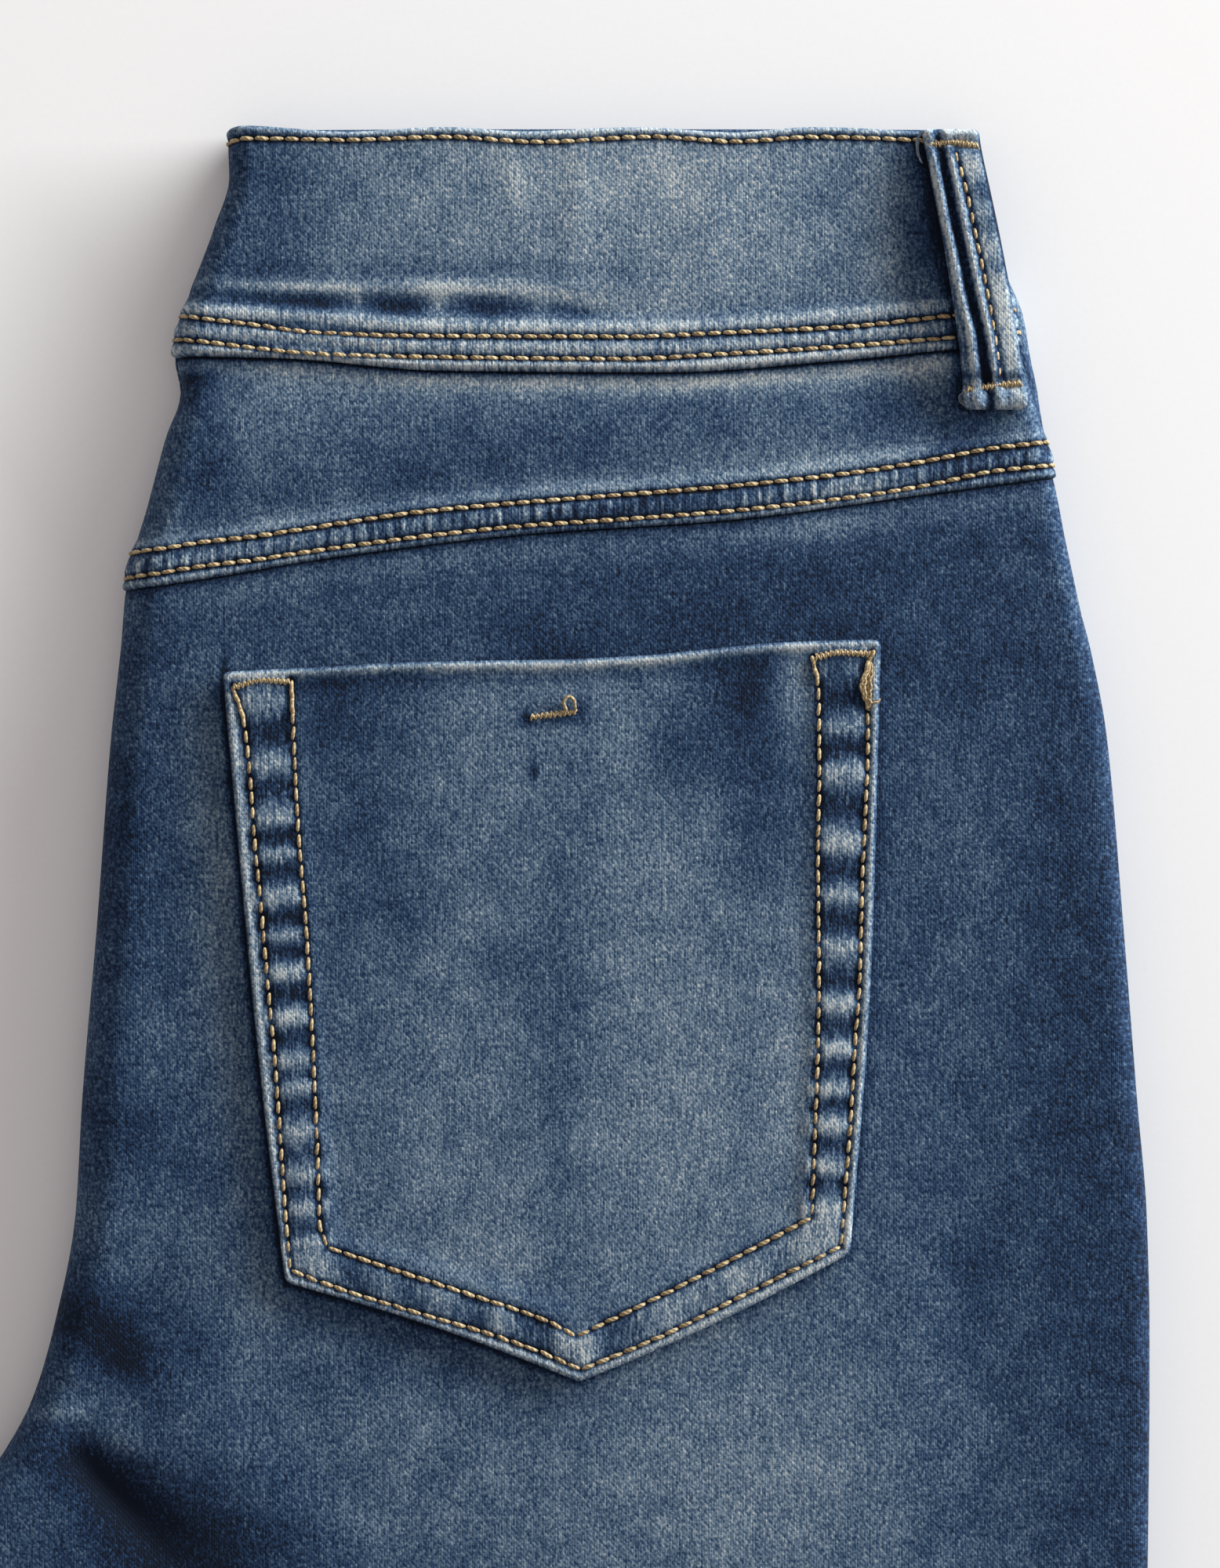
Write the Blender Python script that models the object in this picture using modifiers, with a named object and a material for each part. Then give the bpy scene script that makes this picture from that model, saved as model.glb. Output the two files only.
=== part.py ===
"""Skinny jeans folded in half lengthwise, back side up, lying flat.

The waist points to +Y, the centre-back fold to -X and the side seams to +X. The garment rests on
z = 0. The top layer is the wearer's right back; the three layers under it are one rounded solid.
Lengths are in millimetres until the meshes are written. "Down" is the distance from the waist edge.
"""
import math

import bpy
import numpy as np

# Driving sizes, mm
LENGTH = 1030.0
CLOTH = 1.4
BAND_CLOTH = 2.2
GAP = 0.3
UNDER_GAP = 0.45
TO_METRES = 0.001

# Where the outermost cloth turns under, as a share of the stack's height
FOLD_TURN = 0.5
LEG_TURN = 0.75

# Distances down between which the thick waistband gives way to the leg's cloth
BAND_TO_LEG = (40.0, 70.0)

# The crotch, where the centre-back fold ends and the inseam begins
CROTCH_START = 283.0
CROTCH_END = 316.0

# Rounding of the stack's crown across the width
CROWN = 0.9

# Grid of the cloth: points round the fold, over the top and round the side
FOLD_STEPS = 4
TOP_STEPS = 10
SIDE_STEPS = 3

# Sections of the leg: from, to and step, closer at the seat and wider below the knee
LEG_SECTIONS = ((112.0, 330.0, 13.0), (340.0, 720.0, 19.0), (745.0, 995.0, 30.0))

# Distances down over which the leg's sections turn from the yoke's slant to level
SLANT_SETTLES = (90.0, 190.0)

# Rounds of search for where a column of the cloth meets a slanting seam
EDGE_TRIES = 6


def named_table(names, *rows):
    """A short table as a dictionary of columns."""
    return {name: np.array(column, float) for name, column in zip(names.split(), zip(*rows))}


# Outline of the outermost cloth and the height of the stack, one row for each section
OUTLINE = named_table(
    "down    fold    side  height  fold_round  side_round",
    (0.0, -63.6, 96.6, 12.4, 5.0, 3.0),
    (10.0, -63.2, 98.4, 12.6, 5.2, 3.0),
    (22.0, -66.7, 101.3, 13.0, 5.6, 3.0),
    (38.0, -72.4, 104.2, 13.4, 6.0, 3.2),
    (49.0, -74.8, 106.4, 13.6, 6.2, 3.4),
    (56.0, -73.6, 108.6, 13.8, 6.4, 3.6),
    (66.0, -76.7, 111.2, 14.2, 7.0, 3.8),
    (80.0, -80.4, 114.2, 14.6, 7.5, 4.0),
    (98.0, -85.2, 117.6, 15.0, 8.0, 4.4),
    (112.0, -86.4, 121.2, 15.2, 8.5, 4.6),
    (130.0, -88.4, 124.5, 15.4, 9.0, 5.0),
    (170.0, -91.4, 128.0, 15.6, 9.0, 5.0),
    (208.0, -94.6, 131.0, 15.6, 9.0, 5.0),
    (232.0, -96.0, 133.0, 15.6, 9.0, 5.0),
    (257.0, -100.8, 133.6, 15.6, 9.0, 5.0),
    (272.0, -105.4, 133.6, 15.5, 9.0, 5.0),
    (283.0, -111.2, 133.5, 15.4, 8.5, 5.0),
    (295.0, -120.2, 133.4, 15.2, 7.5, 5.0),
    (305.0, -128.6, 133.3, 15.0, 6.5, 5.0),
    (314.0, -133.2, 133.2, 14.8, 6.0, 5.0),
    (324.0, -133.6, 133.0, 14.7, 6.0, 5.0),
    (360.0, -127.4, 130.6, 14.4, 6.0, 5.0),
    (430.0, -114.0, 123.2, 13.8, 5.5, 4.6),
    (520.0, -95.0, 111.6, 13.0, 5.5, 4.4),
    (620.0, -77.4, 99.4, 12.4, 5.0, 4.2),
    (700.0, -69.0, 92.6, 12.0, 5.0, 4.0),
    (820.0, -60.6, 85.4, 11.4, 4.6, 4.0),
    (940.0, -55.4, 80.2, 11.0, 4.4, 3.8),
    (1030.0, -53.0, 78.0, 10.8, 4.4, 3.8),
)

# How far the lower leg shows past the upper one at the side, one row for each wave
LOWER_LEG = named_table(
    "down   past",
    (0.0, 0.0),
    (28.0, 0.6),
    (40.0, 3.0),
    (50.0, 2.6),
    (62.0, 1.2),
    (78.0, 0.5),
    (96.0, 0.9),
    (120.0, 0.0),
    (220.0, -0.8),
    (330.0, -1.0),
    (480.0, 0.8),
    (620.0, -0.6),
    (800.0, 1.0),
    (940.0, -0.4),
    (1030.0, 1.2),
)

# Soft folds pressed into the stack, one row each: place, half length, half width, turn, rise
FOLDS = (
    dict(x=-84.0, down=256.0, run=11.0, spread=6.0, turn=60.0, rise=-0.9),
    dict(x=-96.0, down=277.0, run=14.0, spread=3.6, turn=-20.0, rise=0.8),
    dict(x=-84.0, down=292.0, run=20.0, spread=4.5, turn=-56.0, rise=-1.2),
    dict(x=-60.0, down=286.0, run=26.0, spread=7.0, turn=-48.0, rise=0.7),
    dict(x=-77.0, down=150.0, run=36.0, spread=6.0, turn=-86.0, rise=-0.7),
    dict(x=-58.0, down=338.0, run=40.0, spread=9.0, turn=-30.0, rise=-0.8),
    dict(x=40.0, down=352.0, run=46.0, spread=11.0, turn=12.0, rise=0.6),
    dict(x=96.0, down=262.0, run=60.0, spread=9.0, turn=-86.0, rise=-0.5),
    dict(x=-30.0, down=560.0, run=44.0, spread=8.0, turn=-14.0, rise=0.9),
    dict(x=52.0, down=584.0, run=38.0, spread=7.0, turn=18.0, rise=-0.8),
    dict(x=-6.0, down=622.0, run=52.0, spread=9.0, turn=7.0, rise=1.0),
    dict(x=30.0, down=655.0, run=40.0, spread=8.0, turn=-12.0, rise=-0.9),
    dict(x=-20.0, down=690.0, run=36.0, spread=9.0, turn=16.0, rise=0.7),
    dict(x=26.0, down=800.0, run=34.0, spread=10.0, turn=-30.0, rise=-0.5),
    dict(x=2.0, down=905.0, run=40.0, spread=9.0, turn=14.0, rise=0.7),
    dict(x=18.0, down=950.0, run=36.0, spread=8.0, turn=-10.0, rise=-0.7),
)

# Lower edge of the waistband and of the yoke's felled seam, by place across the body
BAND_EDGE = named_table(
    "x    down",
    (-76.0, 48.9),
    (-50.0, 49.6),
    (-18.0, 52.2),
    (30.0, 52.6),
    (69.0, 49.9),
    (92.0, 47.6),
    (108.0, 46.6),
)
YOKE_EDGE = named_table(
    "x    down",
    (-88.0, 99.6),
    (-64.0, 96.0),
    (-44.0, 92.6),
    (0.0, 87.2),
    (43.0, 84.2),
    (86.0, 78.6),
    (114.0, 74.8),
)

# Rows of the panels and how far the cloth is raised there by sewn and turned edges
BAND_ROWS = named_table(
    "down  rise",
    (0.4, 0.0),
    (1.8, 0.25),
    (3.8, 0.0),
    (12.0, 0.0),
    (22.0, 0.0),
    (31.0, 0.0),
)
BAND_SEAM = named_table(
    "above_edge rise",
    (11.5, 0.0),
    (10.3, 0.7),
    (6.6, 0.65),
    (5.4, 0.65),
    (1.2, 0.7),
    (0.0, 0.4),
)
YOKE_SEAM = named_table(
    "above_edge rise",
    (10.0, 0.0),
    (8.8, 0.7),
    (4.6, 0.6),
    (1.8, 0.7),
    (0.0, 0.4),
)
YOKE_PLAIN_SHARES = np.array([0.0, 0.33, 0.67])
HEM = named_table("above_edge rise", (15.4, 0.0), (14.0, 0.6), (1.2, 0.6), (0.0, 0.3))

# Sides of the stack under the top cloth, one row for each ring from the floor up: its height as
# a share of the room under the cloth, and how far it stands in from the outline
RINGS = named_table(
    "leg_height leg_in fold_height fold_in end_height end_in",
    (0.00, 4.6, 0.00, 6.6, 0.00, 1.8),
    (0.05, 2.2, 0.08, 3.2, 0.05, 0.5),
    (0.18, 0.5, 0.24, 1.2, 0.20, 0.1),
    (0.36, 0.0, 0.42, 0.3, 0.29, 0.5),
    (0.52, 0.7, 0.56, 0.1, 0.33, 2.6),
    (0.62, 2.6, 0.68, 0.0, 0.37, 0.5),
    (0.66, 7.0, 0.76, 0.0, 0.52, 0.0),
    (0.70, 2.6, 0.84, 0.0, 0.62, 0.5),
    (0.80, 0.7, 0.90, 0.0, 0.66, 2.6),
    (0.91, 0.1, 0.96, 0.0, 0.70, 0.5),
    (1.00, 0.0, 1.00, 0.0, 0.90, 0.0),
    (1.00, 1.8, 1.00, 1.8, 0.97, 0.2),
)
LOWER_RINGS = 6
CORNER_BLEND = (0.3, 1.3)
END_MARGIN = 0.6
STACK_DOWNS = (14.0, 27.0, 39.0, 47.0, 56.0, 68.0, 82.0, 98.0)

# Pocket outline: corners, and how far each edge bows outward
POCKET_LEFT = named_table("x down", (-63.8, 116.2), (-55.4, 205.0), (-50.4, 245.8))
POCKET_RIGHT = named_table("x down", (76.0, 109.4), (73.8, 181.7), (69.4, 239.6))
POCKET_TIP = (12.0, 266.8)
POCKET_TOP_SAG = 1.6
POCKET_EDGE_BOW = 1.2
POCKET_BODY = 1.2
POCKET_STEPS = 5
POCKET_EDGE = named_table("from_edge rise", (0.0, 0.3), (1.2, 0.6), (12.4, 0.6), (13.6, 0.0))
POCKET_MOUTH = named_table("from_edge rise", (0.0, 0.3), (0.9, 0.6), (2.2, 0.0))

# Belt loop: centre line, height of its underside over the plain inside of the cloth, own cloth
LOOP = named_table(
    "down   x     under  thick",
    (0.6, 90.4, 2.9, 1.9),
    (2.6, 90.6, 3.0, 1.2),
    (6.0, 91.0, 3.2, 1.7),
    (14.0, 92.2, 3.6, 1.7),
    (26.0, 94.2, 3.9, 1.7),
    (36.0, 96.0, 4.0, 1.7),
    (46.0, 97.8, 3.8, 1.7),
    (54.0, 99.4, 2.8, 1.8),
    (57.6, 100.0, 2.3, 1.2),
    (60.4, 100.4, 2.1, 1.9),
)
LOOP_WIDTH = 12.6
LOOP_DROOP = 0.5
LOOP_RIDGE = 0.5
LOOP_COLUMNS = (0.0, 0.08, 0.2, 0.3, 0.42, 0.52, 0.66, 0.82, 1.0)
LOOP_RIDGES = (0.0, 1.0, 1.0, 0.0, 1.0, 1.0, 0.1, 0.1, 0.3)


def smooth(table, key, name, at):
    """Value of a column between its rows, along a curve with no overshoot."""
    knots, values = table[key], table[name]
    slopes = np.diff(values) / np.diff(knots)
    tangents = np.concatenate([slopes[:1], np.zeros(len(slopes) - 1), slopes[-1:]])
    same_way = slopes[:-1] * slopes[1:] > 0
    harmonic = 2 * slopes[:-1] * slopes[1:] / np.where(same_way, slopes[:-1] + slopes[1:], 1.0)
    tangents[1:-1] = np.where(same_way, harmonic, 0.0)
    at = np.clip(at, knots[0], knots[-1])
    row = np.clip(np.searchsorted(knots, at) - 1, 0, len(slopes) - 1)
    width = knots[row + 1] - knots[row]
    t = (at - knots[row]) / width
    start, end = values[row], values[row + 1]
    return (start * (1 + 2 * t) * (1 - t) ** 2 + end * t * t * (3 - 2 * t)
            + width * t * (1 - t) * (tangents[row] * (1 - t) - tangents[row + 1] * t))


def ease(value, low, high):
    """Smooth step from 0 at low to 1 at high."""
    t = np.clip((value - low) / (high - low), 0.0, 1.0)
    return t * t * (3 - 2 * t)


def cloth_at(down):
    """Thickness of the top cloth: the double waistband thins to the single cloth of the leg."""
    return BAND_CLOTH + (CLOTH - BAND_CLOTH) * ease(down, *BAND_TO_LEG)


def fold_turn(down):
    """Height share of the turned edge on the fold side: half above the crotch, a leg's below."""
    return FOLD_TURN + (LEG_TURN - FOLD_TURN) * ease(down, CROTCH_START, CROTCH_END)


def pressed_folds(x, down):
    """Rise of the soft folds at a place on the stack."""
    rise = np.zeros(np.broadcast(x, down).shape)
    for fold in FOLDS:
        turn = math.radians(fold["turn"])
        along = (x - fold["x"]) * math.cos(turn) - (down - fold["down"]) * math.sin(turn)
        across = (x - fold["x"]) * math.sin(turn) + (down - fold["down"]) * math.cos(turn)
        rise += fold["rise"] * np.exp(-0.5 * ((along / fold["run"]) ** 2 + (across / fold["spread"]) ** 2))
    return rise


def cloth_point(across, down):
    """Plain inside of the top cloth: across is 0 to 1 round the fold, 2 over the top, 3 at the side."""
    cloth = cloth_at(down)
    left = smooth(OUTLINE, "down", "fold", down) + cloth
    right = smooth(OUTLINE, "down", "side", down) - cloth
    height = smooth(OUTLINE, "down", "height", down)
    fold_round = smooth(OUTLINE, "down", "fold_round", down) - cloth
    side_round = smooth(OUTLINE, "down", "side_round", down) - cloth
    low_left, low_right = fold_turn(down) * height, LEG_TURN * height
    top = height - cloth
    fold_angle = np.clip(across, 0.0, 1.0) * math.pi / 2
    side_angle = np.clip(3.0 - across, 0.0, 1.0) * math.pi / 2
    share = np.clip(across - 1.0, 0.0, 1.0)
    x = ((left + fold_round) * (1 - share) + (right - side_round) * share
         - fold_round * np.cos(fold_angle) + side_round * np.cos(side_angle))
    rounding = np.minimum(np.sin(fold_angle), np.sin(side_angle))
    low = np.where(across < 1.5, low_left, low_right)
    crown = CROWN * np.sin(math.pi * share)
    z = low + (top - low) * rounding + (crown + pressed_folds(x, down)) * rounding ** 2
    return np.stack([x, -down, z], axis=-1)


def cloth_normal(across, down):
    """Outward direction of the cloth, from small steps round and along it."""
    step = 0.02
    inner = np.clip(across, step, 3.0 - step)
    round_it = cloth_point(inner + step, down) - cloth_point(inner - step, down)
    along_it = cloth_point(inner, down + step) - cloth_point(inner, down - step)
    normal = np.cross(along_it, round_it)
    normal /= np.linalg.norm(normal, axis=-1, keepdims=True)
    normal[across <= 0.0] = (-1.0, 0.0, 0.0)
    normal[across >= 3.0] = (1.0, 0.0, 0.0)
    return normal


def columns():
    """Places of the grid's columns from the fold to the side."""
    return np.concatenate([np.linspace(0, 1, FOLD_STEPS + 1)[:-1], np.linspace(1, 2, TOP_STEPS + 1)[:-1],
                           np.linspace(2, 3, SIDE_STEPS + 1)])


def across_at(x, down):
    """Place across the cloth for a plan position on its top."""
    cloth = cloth_at(down)
    left = smooth(OUTLINE, "down", "fold", down) + cloth
    right = smooth(OUTLINE, "down", "side", down) - cloth
    fold_round = smooth(OUTLINE, "down", "fold_round", down) - cloth
    side_round = smooth(OUTLINE, "down", "side_round", down) - cloth
    flat_start, flat_end = left + fold_round, right - side_round
    share = (x - flat_start) / (flat_end - flat_start)
    past_side = np.clip((x - flat_end) / side_round, 0.0, 1.0)
    past_fold = np.clip((flat_start - x) / fold_round, 0.0, 1.0)
    return (1 + np.clip(share, 0.0, 1.0) + np.arcsin(past_side) * 2 / math.pi
            - np.arcsin(past_fold) * 2 / math.pi)


def new_material(name, colour, roughness):
    """Plain woven cloth in one colour."""
    material = bpy.data.materials.new(name)
    material.use_nodes = True
    shader = material.node_tree.nodes["Principled BSDF"]
    shader.inputs["Base Color"].default_value = (*colour, 1.0)
    shader.inputs["Roughness"].default_value = roughness
    shader.inputs["Metallic"].default_value = 0.0
    material.diffuse_color = (*colour, 1.0)
    return material


def place(point):
    """Millimetres down the garment to metres in the part's frame, centred on its length."""
    x, y, z = point
    return (x * TO_METRES, (y + LENGTH / 2) * TO_METRES, z * TO_METRES)


def add_object(name, points, faces, material, collection):
    """New object from points and faces, its pattern of sharp edges set by angle."""
    mesh = bpy.data.meshes.new(name)
    mesh.from_pydata([place(p) for p in points], [], faces)
    mesh.materials.append(material)
    mesh.shade_smooth()
    mesh.set_sharp_from_angle(angle=math.radians(40))
    item = bpy.data.objects.new(name, mesh)
    collection.objects.link(item)
    return item


def grid_faces(rows, cols):
    """Faces of a grid of points, wound so that they look up."""
    return [(r * cols + c, (r + 1) * cols + c, (r + 1) * cols + c + 1, r * cols + c + 1)
            for r in range(rows - 1) for c in range(cols - 1)]


def cloth_wall(name, inside, thickness, material, collection):
    """A wall of cloth: a plain inside surface, given its uneven thickness outward."""
    rows, cols = thickness.shape
    item = add_object(name, inside.reshape(-1, 3), grid_faces(rows, cols), material, collection)
    group = item.vertex_groups.new(name="thickness")
    thickest = float(thickness.max())
    for index, value in enumerate(thickness.ravel()):
        group.add([index], float(value) / thickest, "REPLACE")
    wall = item.modifiers.new("Cloth thickness", "SOLIDIFY")
    wall.thickness = thickest * TO_METRES
    wall.offset = 1.0
    wall.use_even_offset = False
    wall.vertex_group = group.name
    return item


def panel(name, down, thickness, material, collection):
    """A panel of the top cloth: rows of distances down, each with its thickness."""
    across = np.broadcast_to(columns(), down.shape)
    thickness = np.broadcast_to(thickness[:, None], down.shape)
    return cloth_wall(name, cloth_point(across, down), thickness, material, collection)


def level_rows(downs, across):
    """Rows that run straight across the cloth."""
    return np.repeat(downs[:, None], len(across), axis=1)


def edge_down(edge, across):
    """Distance down of a seam edge at each column, found where the column meets the edge."""
    down = np.full(across.shape, edge["down"].mean())
    for _ in range(EDGE_TRIES):
        x = cloth_point(across, down)[..., 0]
        down = smooth(edge, "x", "down", x)
    return down


def build_waistband(material, collection):
    """Wide double band with a raised, sewn lower edge."""
    across = columns()
    edge = edge_down(BAND_EDGE, across) - GAP / 2
    down = np.concatenate([level_rows(BAND_ROWS["down"], across), edge - BAND_SEAM["above_edge"][:, None]])
    rise = np.concatenate([BAND_ROWS["rise"], BAND_SEAM["rise"]])
    return panel("waistband", down, BAND_CLOTH + rise, material, collection)


def build_yoke(material, collection):
    """Slanting yoke that ends in a felled seam lapping over the leg."""
    across = columns()
    top = edge_down(BAND_EDGE, across) + GAP / 2
    edge = edge_down(YOKE_EDGE, across) - GAP / 2
    seam = edge - YOKE_SEAM["above_edge"][:, None]
    down = np.concatenate([top + (seam[0] - top) * YOKE_PLAIN_SHARES[:, None], seam])
    rise = np.concatenate([YOKE_PLAIN_SHARES * 0.0, YOKE_SEAM["rise"]])
    return panel("back_yoke", down, CLOTH + rise, material, collection)


def leg_downs():
    """Distances down of the leg's sections: close at the seat, wider below the knee."""
    return np.concatenate([np.arange(start, end, step) for start, end, step in LEG_SECTIONS])


def build_leg(material, collection):
    """Back leg panel from the yoke to the ankle, with a turned hem."""
    across = columns()
    top = edge_down(YOKE_EDGE, across) + GAP / 2
    sections = leg_downs()
    settled = ease(sections, *SLANT_SETTLES)[:, None]
    slanting = sections[:, None] + (top - top.mean()) * (1 - settled)
    down = np.concatenate([[top], slanting, level_rows(LENGTH - HEM["above_edge"], across)])
    rise = np.concatenate([np.zeros(len(sections) + 1), HEM["rise"]])
    return panel("back_leg", down, CLOTH + rise, material, collection)


def lifted(x, down, lift):
    """Point over a plan position, a distance out from the plain inside of the cloth."""
    across = across_at(x, down)
    return cloth_point(across, down) + cloth_normal(across, down) * np.asarray(lift)[..., None]


def pocket_tip_across():
    """Share of the pocket's width at which its lower edge comes to a point."""
    left, right = POCKET_LEFT["x"][-1], POCKET_RIGHT["x"][-1]
    return (POCKET_TIP[0] - left) / (right - left)


def pocket_plan(across, share):
    """Plan position on the pocket: across from left to right, share from mouth to lower edge."""
    left_top, left_low = POCKET_LEFT["down"][[0, -1]]
    right_top, right_low = POCKET_RIGHT["down"][[0, -1]]
    top = left_top + (right_top - left_top) * across + POCKET_TOP_SAG * np.sin(math.pi * across)
    tip_across = pocket_tip_across()
    before_tip = across < tip_across
    to_tip = np.where(before_tip, across / tip_across, (1 - across) / (1 - tip_across))
    corner = np.where(before_tip, left_low, right_low)
    bow = np.where(before_tip, -POCKET_EDGE_BOW, POCKET_EDGE_BOW) * np.sin(math.pi * to_tip)
    bottom = corner + (POCKET_TIP[1] - corner) * to_tip + bow
    left = smooth(POCKET_LEFT, "down", "x", left_top + (left_low - left_top) * share)
    right = smooth(POCKET_RIGHT, "down", "x", right_top + (right_low - right_top) * share)
    return left + (right - left) * across, top + (bottom - top) * share


def build_pocket(material, collection):
    """Five-sided patch pocket, thicker along its folded and sewn edges."""
    width = POCKET_RIGHT["x"][0] - POCKET_LEFT["x"][0]
    depth = POCKET_TIP[1] - POCKET_LEFT["down"][0]
    side_rows, low_rows = POCKET_EDGE["from_edge"] / width, POCKET_EDGE["from_edge"] / depth
    mouth_rows = POCKET_MOUTH["from_edge"] / depth
    tip = pocket_tip_across()
    middle = np.concatenate([np.linspace(side_rows[-1], tip, POCKET_STEPS)[1:],
                             np.linspace(tip, 1 - side_rows[-1], POCKET_STEPS)[1:-1]])
    body = np.linspace(mouth_rows[-1], 1 - low_rows[-1], 2 * POCKET_STEPS)[1:-1]
    across = np.concatenate([side_rows, middle, 1 - side_rows[::-1]])
    share = np.concatenate([mouth_rows, body, 1 - low_rows[::-1]])
    side_rise = np.concatenate([POCKET_EDGE["rise"], middle * 0.0, POCKET_EDGE["rise"][::-1]])
    share_rise = np.concatenate([POCKET_MOUTH["rise"], body * 0.0, POCKET_EDGE["rise"][::-1]])
    at_rim = (across % 1.0 == 0.0)[None, :] | (share % 1.0 == 0.0)[:, None]
    rise = np.where(at_rim, POCKET_EDGE["rise"][0], np.maximum(side_rise[None, :], share_rise[:, None]))
    x, down = pocket_plan(*np.meshgrid(across, share))
    inside = lifted(x, down, np.full(x.shape, CLOTH + GAP))
    return cloth_wall("back_pocket", inside, POCKET_BODY + rise, material, collection)


def build_loop(material, collection):
    """Belt loop with two lengthwise ridges, flatter at its tacked ends."""
    down, share = np.meshgrid(LOOP["down"], LOOP_COLUMNS, indexing="ij")
    centre = smooth(LOOP, "down", "x", down)
    x = centre + (share - 0.5) * LOOP_WIDTH
    ridge = np.broadcast_to(LOOP_RIDGES, share.shape) * LOOP_RIDGE
    thickness = smooth(LOOP, "down", "thick", down) + ridge
    round_start = (smooth(OUTLINE, "down", "side", down) - smooth(OUTLINE, "down", "side_round", down))
    past_round = np.clip(x - round_start, 0.0, None) / smooth(OUTLINE, "down", "side_round", down)
    inside = cloth_point(across_at(np.minimum(x, round_start), down), down)
    inside[..., 0] = x
    inside[..., 2] += smooth(LOOP, "down", "under", down) - LOOP_DROOP * past_round ** 2
    return cloth_wall("belt_loop", inside, thickness, material, collection)


def stack_border(rows, cols):
    """Order of the grid's border points, round from the waist by the fold, hem and side."""
    fold = [(r, 0) for r in range(rows)]
    hem = [(rows - 1, c) for c in range(1, cols)]
    side = [(r, cols - 1) for r in range(rows - 2, -1, -1)]
    waist = [(0, c) for c in range(cols - 2, 0, -1)]
    return fold + hem + side + waist


def stack_outline(across, down):
    """Plan outline beside each border point, and its outward direction: squarely out at the corners."""
    points = cloth_point(across, down) - cloth_normal(across, down) * UNDER_GAP
    on_fold, on_side = across <= 0.0, across >= 3.0
    points[on_fold, 0] = smooth(OUTLINE, "down", "fold", down[on_fold])
    points[on_side, 0] = smooth(OUTLINE, "down", "side", down[on_side])
    plan = points[:, :2]
    tangent = np.roll(plan, -1, axis=0) - np.roll(plan, 1, axis=0)
    outward = np.stack([tangent[:, 1], -tangent[:, 0]], axis=1)
    outward /= np.linalg.norm(outward, axis=1, keepdims=True)
    corner = (on_fold | on_side) & ((down <= 0.0) | (down >= LENGTH))
    outward[corner] = np.stack([np.where(on_fold, -1.0, 1.0), np.zeros(len(down))], axis=1)[corner]
    return plan, outward


def ring_mix(ring, part, leg_share, end_share):
    """A ring's height or inset for each border point: the fold's, a leg's and an end's, mixed."""
    fold, leg, end = (RINGS[f"{kind}_{part}"][ring] for kind in ("fold", "leg", "end"))
    side = fold + (leg - fold) * leg_share
    return side + (end - side) * end_share


def stack_rings(across, down, room):
    """Rings of points round the stack from the floor up, grooved between the layers."""
    at_end = (down <= END_MARGIN) | (down >= LENGTH - END_MARGIN)
    plan_down = np.where(at_end, np.round(down / LENGTH) * LENGTH, down)
    plan, outward = stack_outline(across, plan_down)
    end_share = at_end * ease(np.minimum(across, 3.0 - across), *CORNER_BLEND)
    leg_share = np.where(across < 1.5, ease(down, CROTCH_START, CROTCH_END), 1.0)
    lower_leg = smooth(LOWER_LEG, "down", "past", down) * (across >= 3.0)
    under_edge = (cloth_at(down) + UNDER_GAP) * (1 - end_share)
    turn = np.where(across < 1.5, fold_turn(down), LEG_TURN)
    turned = turn * smooth(OUTLINE, "down", "height", down) - GAP
    room = turned + (room - turned) * end_share
    last = len(RINGS["leg_in"]) - 1
    rings = []
    for ring in range(last + 1):
        height = ring_mix(ring, "height", leg_share, end_share) * room
        inset = ring_mix(ring, "in", leg_share, end_share)
        if ring == last:
            inset = np.maximum(inset, under_edge)
        x, y = (plan - outward * inset[:, None]).T
        if ring < LOWER_RINGS:
            x = x + lower_leg
        rings.append(np.stack([x, y, height], axis=1))
    return rings


def build_hidden_layers(material, collection):
    """The layers under the top cloth: one rounded solid, flat where it rests."""
    ends = [LENGTH - HEM["above_edge"][1], LENGTH - END_MARGIN]
    downs = np.concatenate([[END_MARGIN], STACK_DOWNS, leg_downs(), ends])
    across, down = np.meshgrid(columns(), downs)
    top = cloth_point(across, down) - cloth_normal(across, down) * UNDER_GAP
    rows, cols = across.shape
    border = stack_border(rows, cols)
    at_border = tuple(np.array(border).T)
    rings = stack_rings(across[at_border], down[at_border], top[at_border][:, 2])
    count, first_top = len(border), len(rings) * len(border)
    levels = [[ring * count + i for i in range(count)] for ring in range(len(rings))]
    levels.append([first_top + r * cols + c for r, c in border])
    faces = [tuple(reversed(levels[0]))]
    for lower, upper in zip(levels, levels[1:]):
        faces += [(lower[i - 1], lower[i], upper[i], upper[i - 1]) for i in range(count)]
    faces += [tuple(first_top + corner for corner in face) for face in grid_faces(rows, cols)]
    points = np.concatenate(rings + [top.reshape(-1, 3)])
    return add_object("hidden_layers", points, faces, material, collection)


def clear_scene():
    """Remove whatever objects the file opened with."""
    for item in list(bpy.data.objects):
        bpy.data.objects.remove(item)


def main():
    clear_scene()
    collection = bpy.data.collections.new("skinny_jeans")
    bpy.context.scene.collection.children.link(collection)
    denim = new_material("washed_denim", (0.085, 0.15, 0.25), 0.85)
    faded = new_material("faded_denim", (0.15, 0.22, 0.31), 0.85)
    deep = new_material("deep_denim", (0.06, 0.11, 0.19), 0.88)
    build_waistband(faded, collection)
    build_yoke(denim, collection)
    build_leg(denim, collection)
    build_pocket(faded, collection)
    build_loop(faded, collection)
    build_hidden_layers(deep, collection)


main()
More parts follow.
